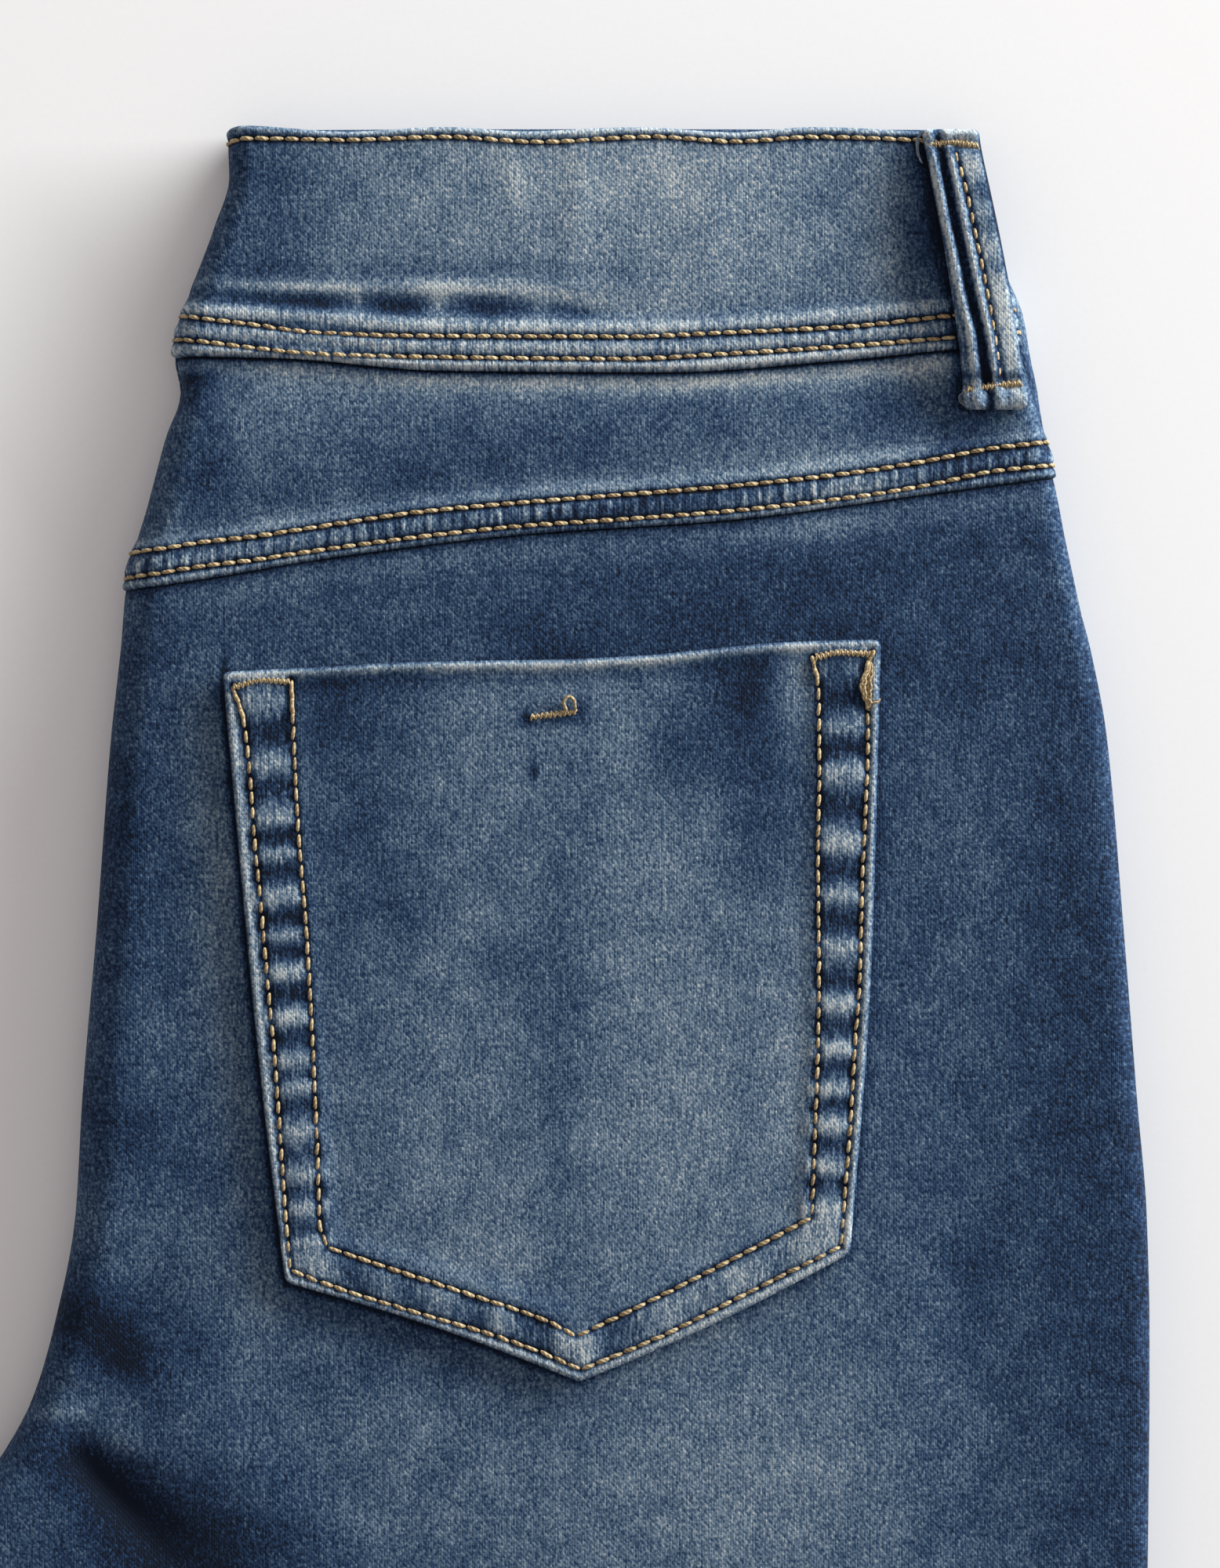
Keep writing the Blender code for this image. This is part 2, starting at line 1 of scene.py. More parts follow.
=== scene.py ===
"""Look of the folded skinny jeans: washed denim, golden topstitching and bar tacks, on a pale floor.

The waist points to +Y, the centre-back fold to -X and the side seams to +X. Tables are in
millimetres: x across the garment and "down" from the waist edge. Meshes are written in metres.
"""
import math

import bpy
import numpy as np
from bpy.props import FloatProperty, FloatVectorProperty, PointerProperty
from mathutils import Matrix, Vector, kdtree


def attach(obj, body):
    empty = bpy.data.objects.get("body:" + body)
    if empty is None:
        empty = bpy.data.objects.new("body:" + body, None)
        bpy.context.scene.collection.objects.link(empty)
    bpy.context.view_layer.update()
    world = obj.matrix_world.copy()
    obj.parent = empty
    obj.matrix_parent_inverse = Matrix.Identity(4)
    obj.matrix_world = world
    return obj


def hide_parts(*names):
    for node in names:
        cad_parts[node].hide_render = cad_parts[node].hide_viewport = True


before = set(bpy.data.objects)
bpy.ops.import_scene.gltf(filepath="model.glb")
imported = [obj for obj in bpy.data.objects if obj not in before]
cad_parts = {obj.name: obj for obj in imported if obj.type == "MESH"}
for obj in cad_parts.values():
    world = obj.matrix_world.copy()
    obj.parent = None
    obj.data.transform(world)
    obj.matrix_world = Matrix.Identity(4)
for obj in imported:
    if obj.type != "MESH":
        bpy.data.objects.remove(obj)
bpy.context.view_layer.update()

bl_info = {
    "name": "Folded Skinny Jeans",
    "version": (1, 0, 0),
    "blender": (4, 5, 0),
    "location": "View3D > Sidebar > Jeans",
    "description": "Sews the cloth, topstitching and tacks of a folded pair of skinny jeans",
    "category": "Object",
}

# Driving sizes of the folded garment, mm
LENGTH = 1030.0
CLOTH = 1.4
BAND_CLOTH = 2.2
GAP = 0.3
UNDER_GAP = 0.45
METRE = 1000.0
FOLD_TURN = 0.5
LEG_TURN = 0.75
BAND_TO_LEG = (40.0, 70.0)
CROTCH_START = 283.0
CROTCH_END = 316.0
CROWN = 0.9
SLANT_SETTLES = (90.0, 190.0)
EDGE_TRIES = 6
END_MARGIN = 0.6
CORNER_BLEND = (0.3, 1.3)
POCKET_TIP = (12.0, 266.8)
POCKET_EDGE_BOW = 1.2
POCKET_BODY = 1.2
LOOP_DROOP = 0.5
LOOP_CORNER = 1.3
LOOP_THINNEST = 0.45

# Fineness of the cloth grids, mm: steps round the fold and side, spacing over the top, places close to
# a cut edge, and the widths over which the columns and rows are spread
FOLD_STEPS = 10
SIDE_STEPS = 8
LEG_SPACING = 1.75
PANEL_SPACING = 0.72
EDGE_PLACES = np.array([0.0, 0.1, 0.3, 0.65])
ROW_STEP = 0.25
LEG_WIDTH, YOKE_WIDTH, BAND_WIDTH = 226.0, 196.0, 180.0
POCKET_WIDTH, POCKET_DEPTH = 130.0, 140.0
POCKET_SAMPLES = 300

# Sewn rows: depth and half width of the groove, how dark the needle line is (unworn dye and painted shade
# in the groove), how the depth is shared by the line and its holes, and how high each panel's rows lie over
# its cloth
GROOVE_DEPTH = 0.4
GROOVE_WIDTH = 0.74
NEEDLE_DYE_AND_SHADE = 1.2
ROW_SHARE, HOLE_SHARE = 0.55, 0.45
LEG_ROW, YOKE_ROW, BAND_ROW, POCKET_ROW = 0.5, 0.6, 0.66, 0.55

# Columns of a table of soft oval spots: centre, half length, half width, turn in degrees and amount
SPOT = "x down run spread turn amount"


def named_table(names, rows):
    """A short table as a dictionary of columns, from a text with a comma between rows."""
    columns_of = zip(*(row.split() for row in rows.split(",")))
    return {name: np.array(column, float) for name, column in zip(names.split(), columns_of)}


OUTLINE = named_table("down fold side height fold_round side_round", """
    0 -63.6 96.6 12.4 5 3,
    10 -63.2 98.4 12.6 5.2 3,
    22 -66.7 101.3 13 5.6 3,
    38 -72.4 104.2 13.4 6 3.2,
    49 -74.8 106.4 13.6 6.2 3.4,
    56 -73.6 108.6 13.8 6.4 3.6,
    66 -76.7 111.2 14.2 7 3.8,
    80 -80.4 114.2 14.6 7.5 4,
    98 -85.2 117.6 15 8 4.4,
    112 -86.4 121.2 15.2 8.5 4.6,
    130 -88.4 124.5 15.4 9 5,
    170 -91.4 128 15.6 9 5,
    208 -94.6 131 15.6 9 5,
    232 -96 133 15.6 9 5,
    257 -100.8 133.6 15.6 9 5,
    272 -105.4 133.6 15.5 9 5,
    283 -111.2 133.5 15.4 8.5 5,
    295 -120.2 133.4 15.2 7.5 5,
    305 -128.6 133.3 15 6.5 5,
    314 -133.2 133.2 14.8 6 5,
    324 -133.6 133 14.7 6 5,
    360 -127.4 130.6 14.4 6 5,
    430 -114 123.2 13.8 5.5 4.6,
    520 -95 111.6 13 5.5 4.4,
    620 -77.4 99.4 12.4 5 4.2,
    700 -69 92.6 12 5 4,
    820 -60.6 85.4 11.4 4.6 4,
    940 -55.4 80.2 11 4.4 3.8,
    1030 -53 78 10.8 4.4 3.8""")
LOWER_LEG = named_table("down past", """
    0 0, 28 0.6, 40 3, 50 2.6, 62 1.2, 78 0.5, 96 0.9, 120 0, 220 -0.8, 330 -1, 480 0.8, 620 -0.6,
    800 1, 940 -0.4, 1030 1.2""")

# Soft folds pressed into the whole stack
FOLDS = named_table(SPOT, """
    -84 256 11 6 60 -0.9, -96 277 14 3.6 -20 0.8, -84 292 20 4.5 -56 -1.2, -60 286 26 7 -48 0.7,
    -77 150 36 6 -86 -0.4, -58 338 40 9 -30 -0.8, 40 352 46 11 12 0.6, 96 262 60 9 -86 -0.5,
    -30 560 44 8 -14 0.9, 52 584 38 7 18 -0.8, -6 622 52 9 7 1, 30 655 40 8 -12 -0.9,
    -20 690 36 9 16 0.7, 26 800 34 10 -30 -0.5, 2 905 40 9 14 0.7, 18 950 36 8 -10 -0.7""")

# Lower edges of the waistband and the yoke, and the wavy top edge of the waistband
BAND_EDGE = named_table("x down", "-76 48.9, -50 49.6, -18 52.2, 30 52.6, 69 49.9, 92 47.6, 108 46.6")
YOKE_EDGE = named_table("x down", "-88 99.6, -64 96, -44 92.6, 0 87.2, 43 84.2, 86 78.6, 114 74.8")
WAIST_EDGE = named_table("x down", """
    -66 1.2, -60 -0.6, -37.8 0.8, -17 -0.2, 0.2 0.8, 24 -0.1, 45 1, 62.2 -0.2, 83 0.7, 99 1.6""")

# Rows of topstitching over the seams, each sewn right round the cloth
WAIST_ROW = named_table("x down", """
    -66 4.6, -62.8 3.3, -58.5 2.4, -37.8 2.8, -17 2.2, 3.7 3.3, 27.7 2.2, 45 3.2, 62.2 2.2, 83 2.8,
    99 4.2""")
BAND_UPPER = named_table("x down", """
    -76 40.4, -69.5 40.9, -58.5 42.2, -44.7 44, -24 44.8, 22.2 45, 41.5 44.2, 69.2 42.8, 91.2 40.4,
    108 38.8""")
BAND_LOWER = named_table("x down", """
    -76 45.3, -69 45.9, -58.5 47.2, -44.7 48.6, -24 49.3, 22.2 49.8, 41.5 48.8, 69.2 47, 91.8 45.1,
    108 43.9""")
YOKE_UPPER = named_table("x down", """
    -88 92.4, -69.2 88.8, -58.3 87.6, -44 85.5, -22.2 82.3, -0.5 80.3, 18.8 78.8, 42.7 76.9, 71.7 73.7,
    86.2 71.3, 100.5 68.6, 114 67.2""")
YOKE_LOWER = named_table("x down", """
    -88 97.3, -69.2 93.9, -58.3 92.6, -44 90.5, -22.2 87.6, -0.5 85.3, 18.8 84, 42.7 82.2, 71.7 78.9,
    86.2 76.5, 100.5 73.5, 114 72.2""")

# How far the cloth is raised over the seams, by distance from the edge
BAND_SEAM = named_table("from_edge rise fade", """
    0 0.5 -0.1, 0.7 0.78 0.36, 1.7 0.76 0.34, 2.7 0.62 -0.16, 3.7 0.72 0.1, 5 0.9 0.28, 6.3 0.72 0.08,
    7.2 0.64 -0.16, 8.2 0.8 0.22, 9.4 0.88 0.4, 10.6 0.5 0.3, 11.6 0.24 0, 12.6 0 0""")
YOKE_SEAM = named_table("from_edge rise fade", """
    0 0.5 -0.1, 0.7 0.76 0.36, 1.4 0.72 0.26, 2 0.6 -0.04, 3 0.72 0.1, 4.4 0.86 0.14, 5.8 0.72 0.08,
    6.9 0.6 -0.04, 8.2 0.55 0.28, 9.4 0.3 0.3, 11 0 0.14, 14 0 0""")
HEM_SEAM = named_table("from_edge rise", "0 0.4, 1.2 0.6, 12 0.55, 14 0.5, 15.6 0")
HEM_ROW = {"x": np.array([-80.0, 100.0]), "down": np.full(2, LENGTH - 12.6)}
# Strength of the pocket's painted shadow on the leg
POCKET_PAINTED_SHADOW = 0.85
# Strength of the belt loop's painted shadow beside its left edge
LOOP_PAINTED_SHADOW = 0.8

# Rings up the sides of the lower layers: height as a share of the room, and how far each stands in
RINGS = named_table("ring leg_height leg_in fold_height fold_in end_height end_in", """
    0 0 4.6 0 6.6 0 1.8,
    1 0.05 2.2 0.08 3.2 0.05 0.5,
    2 0.18 0.5 0.24 1.2 0.2 0.1,
    3 0.36 0 0.42 0.3 0.29 0.5,
    4 0.52 0.7 0.56 0.1 0.33 2.6,
    5 0.62 2.6 0.68 0 0.37 0.5,
    6 0.66 7 0.76 0 0.52 0,
    7 0.7 2.6 0.84 0 0.62 0.5,
    8 0.8 0.7 0.9 0 0.66 2.6,
    9 0.91 0.1 0.96 0 0.7 0.5,
    10 1 0 1 0 0.9 0,
    11 1 1.8 1 1.8 0.97 0.2""")
LOWER_RINGS = 5.5
RING_SAMPLES = 40
STACK_TOP_STEPS = 16

# Pocket sides, edge form and sewn rows
POCKET_LEFT = named_table("down x", "116.2 -63.8, 205 -55.4, 245.8 -50.4")
POCKET_RIGHT = named_table("down x", "109.4 76, 181.7 73.8, 239.6 69.4")
POCKET_EDGE = named_table("from_edge rise", """
    0 0.5, 1 0.72, 2.3 0.5, 6.5 0.66, 11.5 0.48, 13.4 0.2, 15 0""")
MOUTH_CURVE = named_table("across sag", """
    0 0, 0.12 0, 0.26 -0.15, 0.4 0.35, 0.55 0.95, 0.64 0.9, 0.75 0.1, 0.85 -0.45, 0.95 -0.3, 1 0""")
POCKET_CORNER = 1.7
POCKET_MOUTH = named_table("from_edge rise", "0 0.5, 0.9 0.72, 1.7 0.5, 2.6 0.12, 5 0")
POCKET_OUTER = (
    named_table("x down", """
        -61.7 119, -59.2 126.3, -57.7 139.2, -56.8 152.2, -55.6 164, -54.2 180.3, -52.6 197.2,
        -51.1 218.5, -50.2 231.8, -49.2 243"""),
    named_table("x down", "-49.2 243, -37.7 247.3, -21.7 252.2, -7 256.5, 4 260.4, 12.4 264"),
    named_table("x down", "12.4 264, 29.2 257, 47.2 248, 67.4 237.9"),
    named_table("x down", """
        67.4 237.9, 68.2 226.8, 69.3 212.8, 70.3 195.8, 71.3 181.7, 71.9 159.7, 72.7 142.8, 73.1 131.5,
        73 123.3, 72.7 116.3, 74.3 111.9"""),
)
POCKET_INNER = (
    named_table("x down", """
        -49 117.8, -48.7 127, -48.3 135.3, -47.7 147.3, -47 156.8, -46 168.8, -45.2 181.7, -44.5 194.7,
        -43.7 213.2, -43.2 226.5, -43 233.3, -41.3 238.2"""),
    named_table("x down", "-41.3 238.2, -27 243, -11 248.2, 4.8 253.6, 11.4 257"),
    named_table("x down", "11.4 257, 29.2 248.4, 47.2 239.2, 61.2 231.8"),
    named_table("x down", """
        61.2 231.8, 61.9 212.8, 62.5 195.8, 62.7 181.7, 62.5 154, 62.8 137.2, 62.6 119.7, 61.3 113.2"""),
)
# How each side of the pocket is sewn: stitch length as a share of the pitch, thread width and doubled length
POCKET_SEWING = ((0.8, 0.88, 6.0), (0.92, 0.98, 0.0), (0.92, 0.98, 0.0), (0.8, 0.88, -6.0))

# Puckers of the pocket's side strips: 1 where a pucker is rubbed pale, -1 in the dark hollow
LEFT_PUCKERS = named_table("down puff", """
    118 0.3, 122 0.7, 129.5 -0.9, 135.8 0.7, 140.8 -0.7, 147.5 0.9, 151.3 -0.9, 155 0.7, 158.3 -0.9,
    164.2 1, 168.7 -1, 172.5 0.7, 175.8 -1, 180.3 1, 184.7 -1, 190 1, 194.2 -0.9, 199.2 0.8, 202 -0.2,
    205 0.7, 208.7 -0.7, 214.2 0.9, 219 -0.3, 223.3 0.8, 227 -0.5, 230.8 0.7, 235 -0.3, 238.3 0.9,
    243 0, 252 0.2""")
RIGHT_PUCKERS = named_table("down puff", """
    112 -0.2, 116 -0.2, 122.2 -0.9, 128.3 0.5, 132.5 -1, 137.5 0.9, 145 -1, 152.5 0.9, 158.3 -1,
    163.8 0.7, 169.2 -1, 174.5 0.8, 181.7 -1, 186.7 0.9, 191.7 -0.9, 196.2 0.9, 200.3 -0.8, 205 0.9,
    208 -0.7, 212.5 0.9, 216.3 -0.7, 221.3 0.9, 224.7 -0.6, 230 0.9, 236.7 0.6, 242 0.1, 250 0""")
LOW_PUCKERS = named_table("x puff", """
    -50 0.6, -43 0.9, -36 -0.3, -30 0.5, -24 -0.2, -17 0.5, -10 -0.6, -5 0.6, 0 -0.3, 4 -0.8, 8 0.9,
    13 1, 18 -0.6, 25 0.1, 31 0.5, 37 0.1, 43 0.4, 49 0.6, 55 -0.2, 60 0.8, 66 0.9""")
STRIP = (2.6, 12.6)

# Belt loop: centre line, height of its underside, own cloth and width
LOOP = named_table("down x under thick width", """
    0.6 91 2.9 2 11.8,
    1.8 91.1 3 2.3 12.2,
    3.8 91.4 3.1 1.3 12.1,
    6.4 91.9 3.3 1.8 12,
    14 93.4 3.6 1.8 12.2,
    26 95.7 3.9 1.8 12.4,
    36 97.4 4 1.8 12.6,
    46 98.9 3.8 1.8 12.7,
    52.4 99.8 3.1 1.8 13,
    55.2 100.2 2.6 1.2 13.4,
    58 100.5 2.3 2.3 14.2,
    60.4 100.6 2.1 1.9 13.8""")
# Across the belt loop: share of its width, rise and tone; the tone is worn pale on the ridges, with painted
# shade in the groove between them and painted light on the ridges' shaded left sides
LOOP_FORM = named_table("share rise fade", """
    0 0 -0.2, 0.025 0.75 0.4, 0.06 1.15 0.46, 0.1 1.2 0.2, 0.14 0.9 -0.15, 0.18 0.1 -0.6,
    0.23 -0.8 -0.9, 0.3 -0.8 -0.9, 0.335 -0.3 -0.4, 0.365 0.5 0.5, 0.4 0.85 0.5, 0.45 0.75 0.14,
    0.49 0.4 -0.02, 0.52 0.06 -0.16, 0.55 0 -0.2, 0.6 0.02 0.1, 0.68 0.06 0.34, 0.8 0.12 0.2,
    0.88 0.16 0.2, 0.92 0.18 0.05, 0.96 0.1 -0.35, 1 0 -0.8""")
LOOP_ROW = named_table("down x", "5.3 91.6, 12.2 93.7, 26 96.6, 40 99.3, 51 100.9, 54.2 101.2")
LOOP_TACKS = (
    named_table("x down", "86.4 4.2, 91 3.5, 96.9 4.4"),
    named_table("x down", "94.2 56.3, 100 55.4, 105.8 54.8"),
)
POCKET_TACKS = (
    named_table("x down", "-61.4 119.6, -55 118.1, -49.2 118.4"),
    named_table("x down", "61.9 113.3, 67 112.2, 73.6 112.5"),
)
CENTRE_TACK = named_table("x down", "1.6 125.9, 6.4 125.3, 11.4 124.7")


def smooth(table, name, at):
    """Value of a column at a place in the first column, along a curve with no overshoot."""
    knots, values = next(iter(table.values())), table[name]
    slopes = np.diff(values) / np.diff(knots)
    tangents = joined(slopes[:1], np.zeros(len(slopes) - 1), slopes[-1:])
    same_way = slopes[:-1] * slopes[1:] > 0
    harmonic = 2 * slopes[:-1] * slopes[1:] / np.where(same_way, slopes[:-1] + slopes[1:], 1.0)
    tangents[1:-1] = np.where(same_way, harmonic, 0.0)
    at = np.clip(at, knots[0], knots[-1])
    row = np.clip(np.searchsorted(knots, at) - 1, 0, len(slopes) - 1)
    width = knots[row + 1] - knots[row]
    t = (at - knots[row]) / width
    start, end = values[row], values[row + 1]
    return (start * (1 + 2 * t) * (1 - t) ** 2 + end * t * t * (3 - 2 * t)
            + width * t * (1 - t) * (tangents[row] * (1 - t) - tangents[row + 1] * t))


def ease(value, low, high):
    """Smooth step from 0 at low to 1 at high."""
    t = np.clip((value - low) / (high - low), 0.0, 1.0)
    return t * t * (3 - 2 * t)


def bell(value, centre, width, power=2):
    """Soft bump, 1 at its centre, falling away over its width."""
    return np.exp(-((value - centre) / width) ** power)


def lowest(*distances):
    """The least of several distances, point by point."""
    return np.minimum.reduce(np.broadcast_arrays(*distances))


def joined(*parts):
    """Rows of numbers put one after another."""
    return np.concatenate(parts)


def unit(vectors):
    """Vectors of length 1 that point the same way."""
    return vectors / np.linalg.norm(vectors, axis=-1, keepdims=True)


def soft_spots(spots, x, down):
    """Sum of soft oval spots: place, half length, half width, turn and amount."""
    total = np.zeros(np.broadcast(x, down).shape)
    for place_x, place_down, run, spread, turn, amount in zip(*spots.values()):
        turn = math.radians(turn)
        along = (x - place_x) * math.cos(turn) - (down - place_down) * math.sin(turn)
        across = (x - place_x) * math.sin(turn) + (down - place_down) * math.cos(turn)
        total += amount * np.exp(-0.5 * ((along / run) ** 2 + (across / spread) ** 2))
    return total


def wobble(at, length):
    """Uneven ripple between about -1 and 1, whose waves are about that long."""
    turn = 2 * math.pi * np.asarray(at) / length
    return 0.5 * np.sin(turn) + 0.3 * np.sin(1.73 * turn + 1.1) + 0.25 * np.sin(0.61 * turn + 2.3)


def cloth_at(down):
    """Thickness of the top cloth: the double waistband thins to the single cloth of the leg."""
    return BAND_CLOTH + (CLOTH - BAND_CLOTH) * ease(down, *BAND_TO_LEG)


def fold_turn(down):
    """Height share of the turned edge on the fold side: half above the crotch, a leg's below."""
    return FOLD_TURN + (LEG_TURN - FOLD_TURN) * ease(down, CROTCH_START, CROTCH_END)


def outline(column, down):
    """A measure of the folded garment's outline at a distance down."""
    return smooth(OUTLINE, column, down)


def flat_part(down):
    """Where the top cloth starts to be flat and ends, and the radii of its turned edges."""
    cloth = cloth_at(down)
    fold_round, side_round = outline("fold_round", down) - cloth, outline("side_round", down) - cloth
    left, right = outline("fold", down) + cloth, outline("side", down) - cloth
    return left + fold_round, right - side_round, fold_round, side_round


def cloth_point(across, down):
    """Plain inside of the top cloth: across is 0 to 1 round the fold, 2 over the top, 3 at the side."""
    flat_start, flat_end, fold_round, side_round = flat_part(down)
    height = outline("height", down)
    low_left, low_right = fold_turn(down) * height, LEG_TURN * height
    top = height - cloth_at(down)
    fold_angle = np.clip(across, 0.0, 1.0) * math.pi / 2
    side_angle = np.clip(3.0 - across, 0.0, 1.0) * math.pi / 2
    share = np.clip(across - 1.0, 0.0, 1.0)
    x = (flat_start * (1 - share) + flat_end * share
         - fold_round * np.cos(fold_angle) + side_round * np.cos(side_angle))
    rounding = np.minimum(np.sin(fold_angle), np.sin(side_angle))
    low = np.where(across < 1.5, low_left, low_right)
    crown = CROWN * np.sin(math.pi * share)
    z = low + (top - low) * rounding + (crown + soft_spots(FOLDS, x, down)) * rounding ** 2
    return np.stack([x, -down, z], axis=-1)


def cloth_normal(across, down):
    """Outward direction of the cloth, from small steps round and along it."""
    step = 0.02
    inner = np.clip(across, step, 3.0 - step)
    round_it = cloth_point(inner + step, down) - cloth_point(inner - step, down)
    along_it = cloth_point(inner, down + step) - cloth_point(inner, down - step)
    normal = unit(np.cross(along_it, round_it))
    normal[across <= 0.0] = (-1.0, 0.0, 0.0)
    normal[across >= 3.0] = (1.0, 0.0, 0.0)
    return normal


def across_at(x, down):
    """Place across the cloth for a plan position on its top."""
    flat_start, flat_end, fold_round, side_round = flat_part(down)
    share = (x - flat_start) / (flat_end - flat_start)
    past_side = np.clip((x - flat_end) / side_round, 0.0, 1.0)
    past_fold = np.clip((flat_start - x) / fold_round, 0.0, 1.0)
    return (1 + np.clip(share, 0.0, 1.0) + np.arcsin(past_side) * 2 / math.pi
            - np.arcsin(past_fold) * 2 / math.pi)


def columns(spacing, width, fold_steps=FOLD_STEPS, side_steps=SIDE_STEPS):
    """Places of a grid's columns from the fold to the side, about a spacing apart over the top."""
    top_steps = round(width / spacing)
    return joined(np.linspace(0, 1, fold_steps + 1)[:-1], np.linspace(1, 2, top_steps + 1)[:-1],
                  np.linspace(2, 3, side_steps + 1))


def edge_down(edge, across):
    """Distance down of a seam edge at each column, found where the column meets the edge."""
    down = np.full(across.shape, edge["down"].mean())
    for _ in range(EDGE_TRIES):
        down = smooth(edge, "down", cloth_point(across, down)[..., 0])
    return down


def spaced(start, end, step):
    """Places from start to end, about a step apart."""
    return np.linspace(start, end, max(2, round((end - start) / step) + 1))


def rows_between(top, bottom, near_top, middle, near_bottom):
    """Rows of a panel: fixed distances inside both edges and even shares between them."""
    first, last = top + near_top[:, None], bottom - near_bottom[::-1][:, None]
    share = np.linspace(0, 1, middle + 2)[1:-1][:, None]
    return joined(first, first[-1] + (last[0] - first[-1]) * share, last)


def rounded(distance, radius=0.9):
    """Share of the full thickness near a turned or cut edge."""
    inside = np.clip(1 - distance / radius, 0.0, 1.0)
    return 0.3 + 0.7 * np.sqrt(1 - inside ** 2)


def to_metres(points):
    """Millimetres down the garment to metres in the part's frame, centred on its length."""
    return (np.asarray(points) + (0.0, LENGTH / 2, 0.0)) / METRE


def linear(code):
    """An sRGB hex colour as linear red, green and blue."""
    parts = [int(code[i:i + 2], 16) / 255 for i in (1, 3, 5)]
    return [p / 12.92 if p <= 0.04045 else ((p + 0.055) / 1.055) ** 2.4 for p in parts]


def add_mesh(name, points, faces, place, values, material):
    """New smooth mesh object with a cloth UV map in metres and named values on its points."""
    mesh = bpy.data.meshes.new(name)
    mesh.from_pydata(to_metres(points).tolist(), [], [list(face) for face in faces])
    corners = np.empty(len(mesh.loops), dtype=np.int32)
    mesh.loops.foreach_get("vertex_index", corners)
    layer = mesh.uv_layers.new(name="cloth")
    layer.data.foreach_set("uv", (np.asarray(place)[corners] / METRE).ravel())
    for key, value in values.items():
        layer = mesh.attributes.new(key, "FLOAT", "POINT")
        layer.data.foreach_set("value", np.ravel(value).astype(np.float32))
    mesh.materials.append(material)
    mesh.shade_smooth()
    item = bpy.data.objects.new(name, mesh)
    bpy.context.scene.collection.objects.link(item)
    return item


def grid_of(rows, cols):
    """Numbers of a grid's points, its faces wound to look up, and its border in order."""
    index = np.arange(rows * cols).reshape(rows, cols)
    faces = np.stack([index[:-1, :-1], index[1:, :-1], index[1:, 1:], index[:-1, 1:]], axis=-1).reshape(-1, 4)
    border = joined(index[:, 0], index[-1, 1:], index[-2::-1, -1], index[0, -2:0:-1])
    return index, faces, border


def add_cloth(name, inside, outside, fade, rub, material):
    """A thin closed wall of cloth between two grids of points."""
    rows, cols = fade.shape
    count = rows * cols
    _, faces, border = grid_of(rows, cols)
    after = np.roll(border, -1)
    rim = np.stack([border, border + count, after + count, after], axis=1)
    faces = joined(faces, faces[:, ::-1] + count, rim)
    reach = np.linalg.norm(np.diff(inside, axis=1), axis=-1).cumsum(axis=1)
    reach = np.pad(reach, ((0, 0), (1, 0)))
    middle = cols // 2
    u = reach - reach[:, middle:middle + 1] + inside[:, middle:middle + 1, 0]
    place = np.stack([u, -inside[..., 1]], axis=-1).reshape(-1, 2)
    points = joined(outside.reshape(-1, 3), inside.reshape(-1, 3))
    values = {"fade": np.tile(fade.ravel(), 2), "rub": np.tile(rub.ravel(), 2)}
    return add_mesh(name, points, faces, np.tile(place, (2, 1)), values, material)


def with_chord(path):
    """A table of plan positions, looked up by the distance along it."""
    steps = np.hypot(np.diff(path["x"]), np.diff(path["down"]))
    return {"along": joined([0.0], np.cumsum(steps)), **path}


def sewn_line(row):
    """Close points on a smooth line through a row's table of plan positions."""
    line = with_chord(row)
    at = spaced(0.0, line["along"][-1], ROW_STEP)
    return smooth(line, "x", at), smooth(line, "down", at)


def running(line):
    """Distance along a line at each of its points."""
    return joined([0.0], np.cumsum(np.linalg.norm(np.diff(line, axis=0), axis=1)))


def length_of(line):
    """Length of a line of points."""
    return np.linalg.norm(np.diff(line, axis=0), axis=1).sum()


def on_cloth(row, lift):
    """Points and outward directions of a plan row, a distance out from the inside of the cloth."""
    x, down = sewn_line(row)
    across = across_at(x, down)
    normal = cloth_normal(across, down)
    return cloth_point(across, down) + normal * lift, normal


def round_cloth(row, lift, start=0.0, end=3.0):
    """Points and outward directions of a row that runs right round the cloth."""
    across = columns(ROW_STEP * 2, 200.0, 40, 40)
    across = across[(across >= start) & (across <= end)]
    down = edge_down(row, across)
    normal = cloth_normal(across, down)
    return cloth_point(across, down) + normal * lift, normal


def near_rows(points, lines):
    """Closeness of each point to a sewn line, 1 on it, and how near it is to a needle hole."""
    pitch = bpy.context.scene.jeans_sizes.stitch_pitch * METRE
    tree = kdtree.KDTree(sum(len(line) for line, _ in lines))
    turns, number = [], 0
    for line, _ in lines:
        count = max(1, round(length_of(line) / pitch))
        turns.append(running(line) * count / length_of(line))
        for point in line:
            tree.insert(point, number)
            number += 1
    tree.balance()
    turns = np.concatenate(turns)
    found = [tree.find(point) for point in points.reshape(-1, 3)]
    distance = np.array([f[2] for f in found]).reshape(points.shape[:-1])
    turn = turns[np.array([f[1] for f in found])].reshape(points.shape[:-1])
    close = bell(distance, 0.0, GROOVE_WIDTH)
    return close, close * (0.5 + 0.5 * np.cos(2 * math.pi * turn))


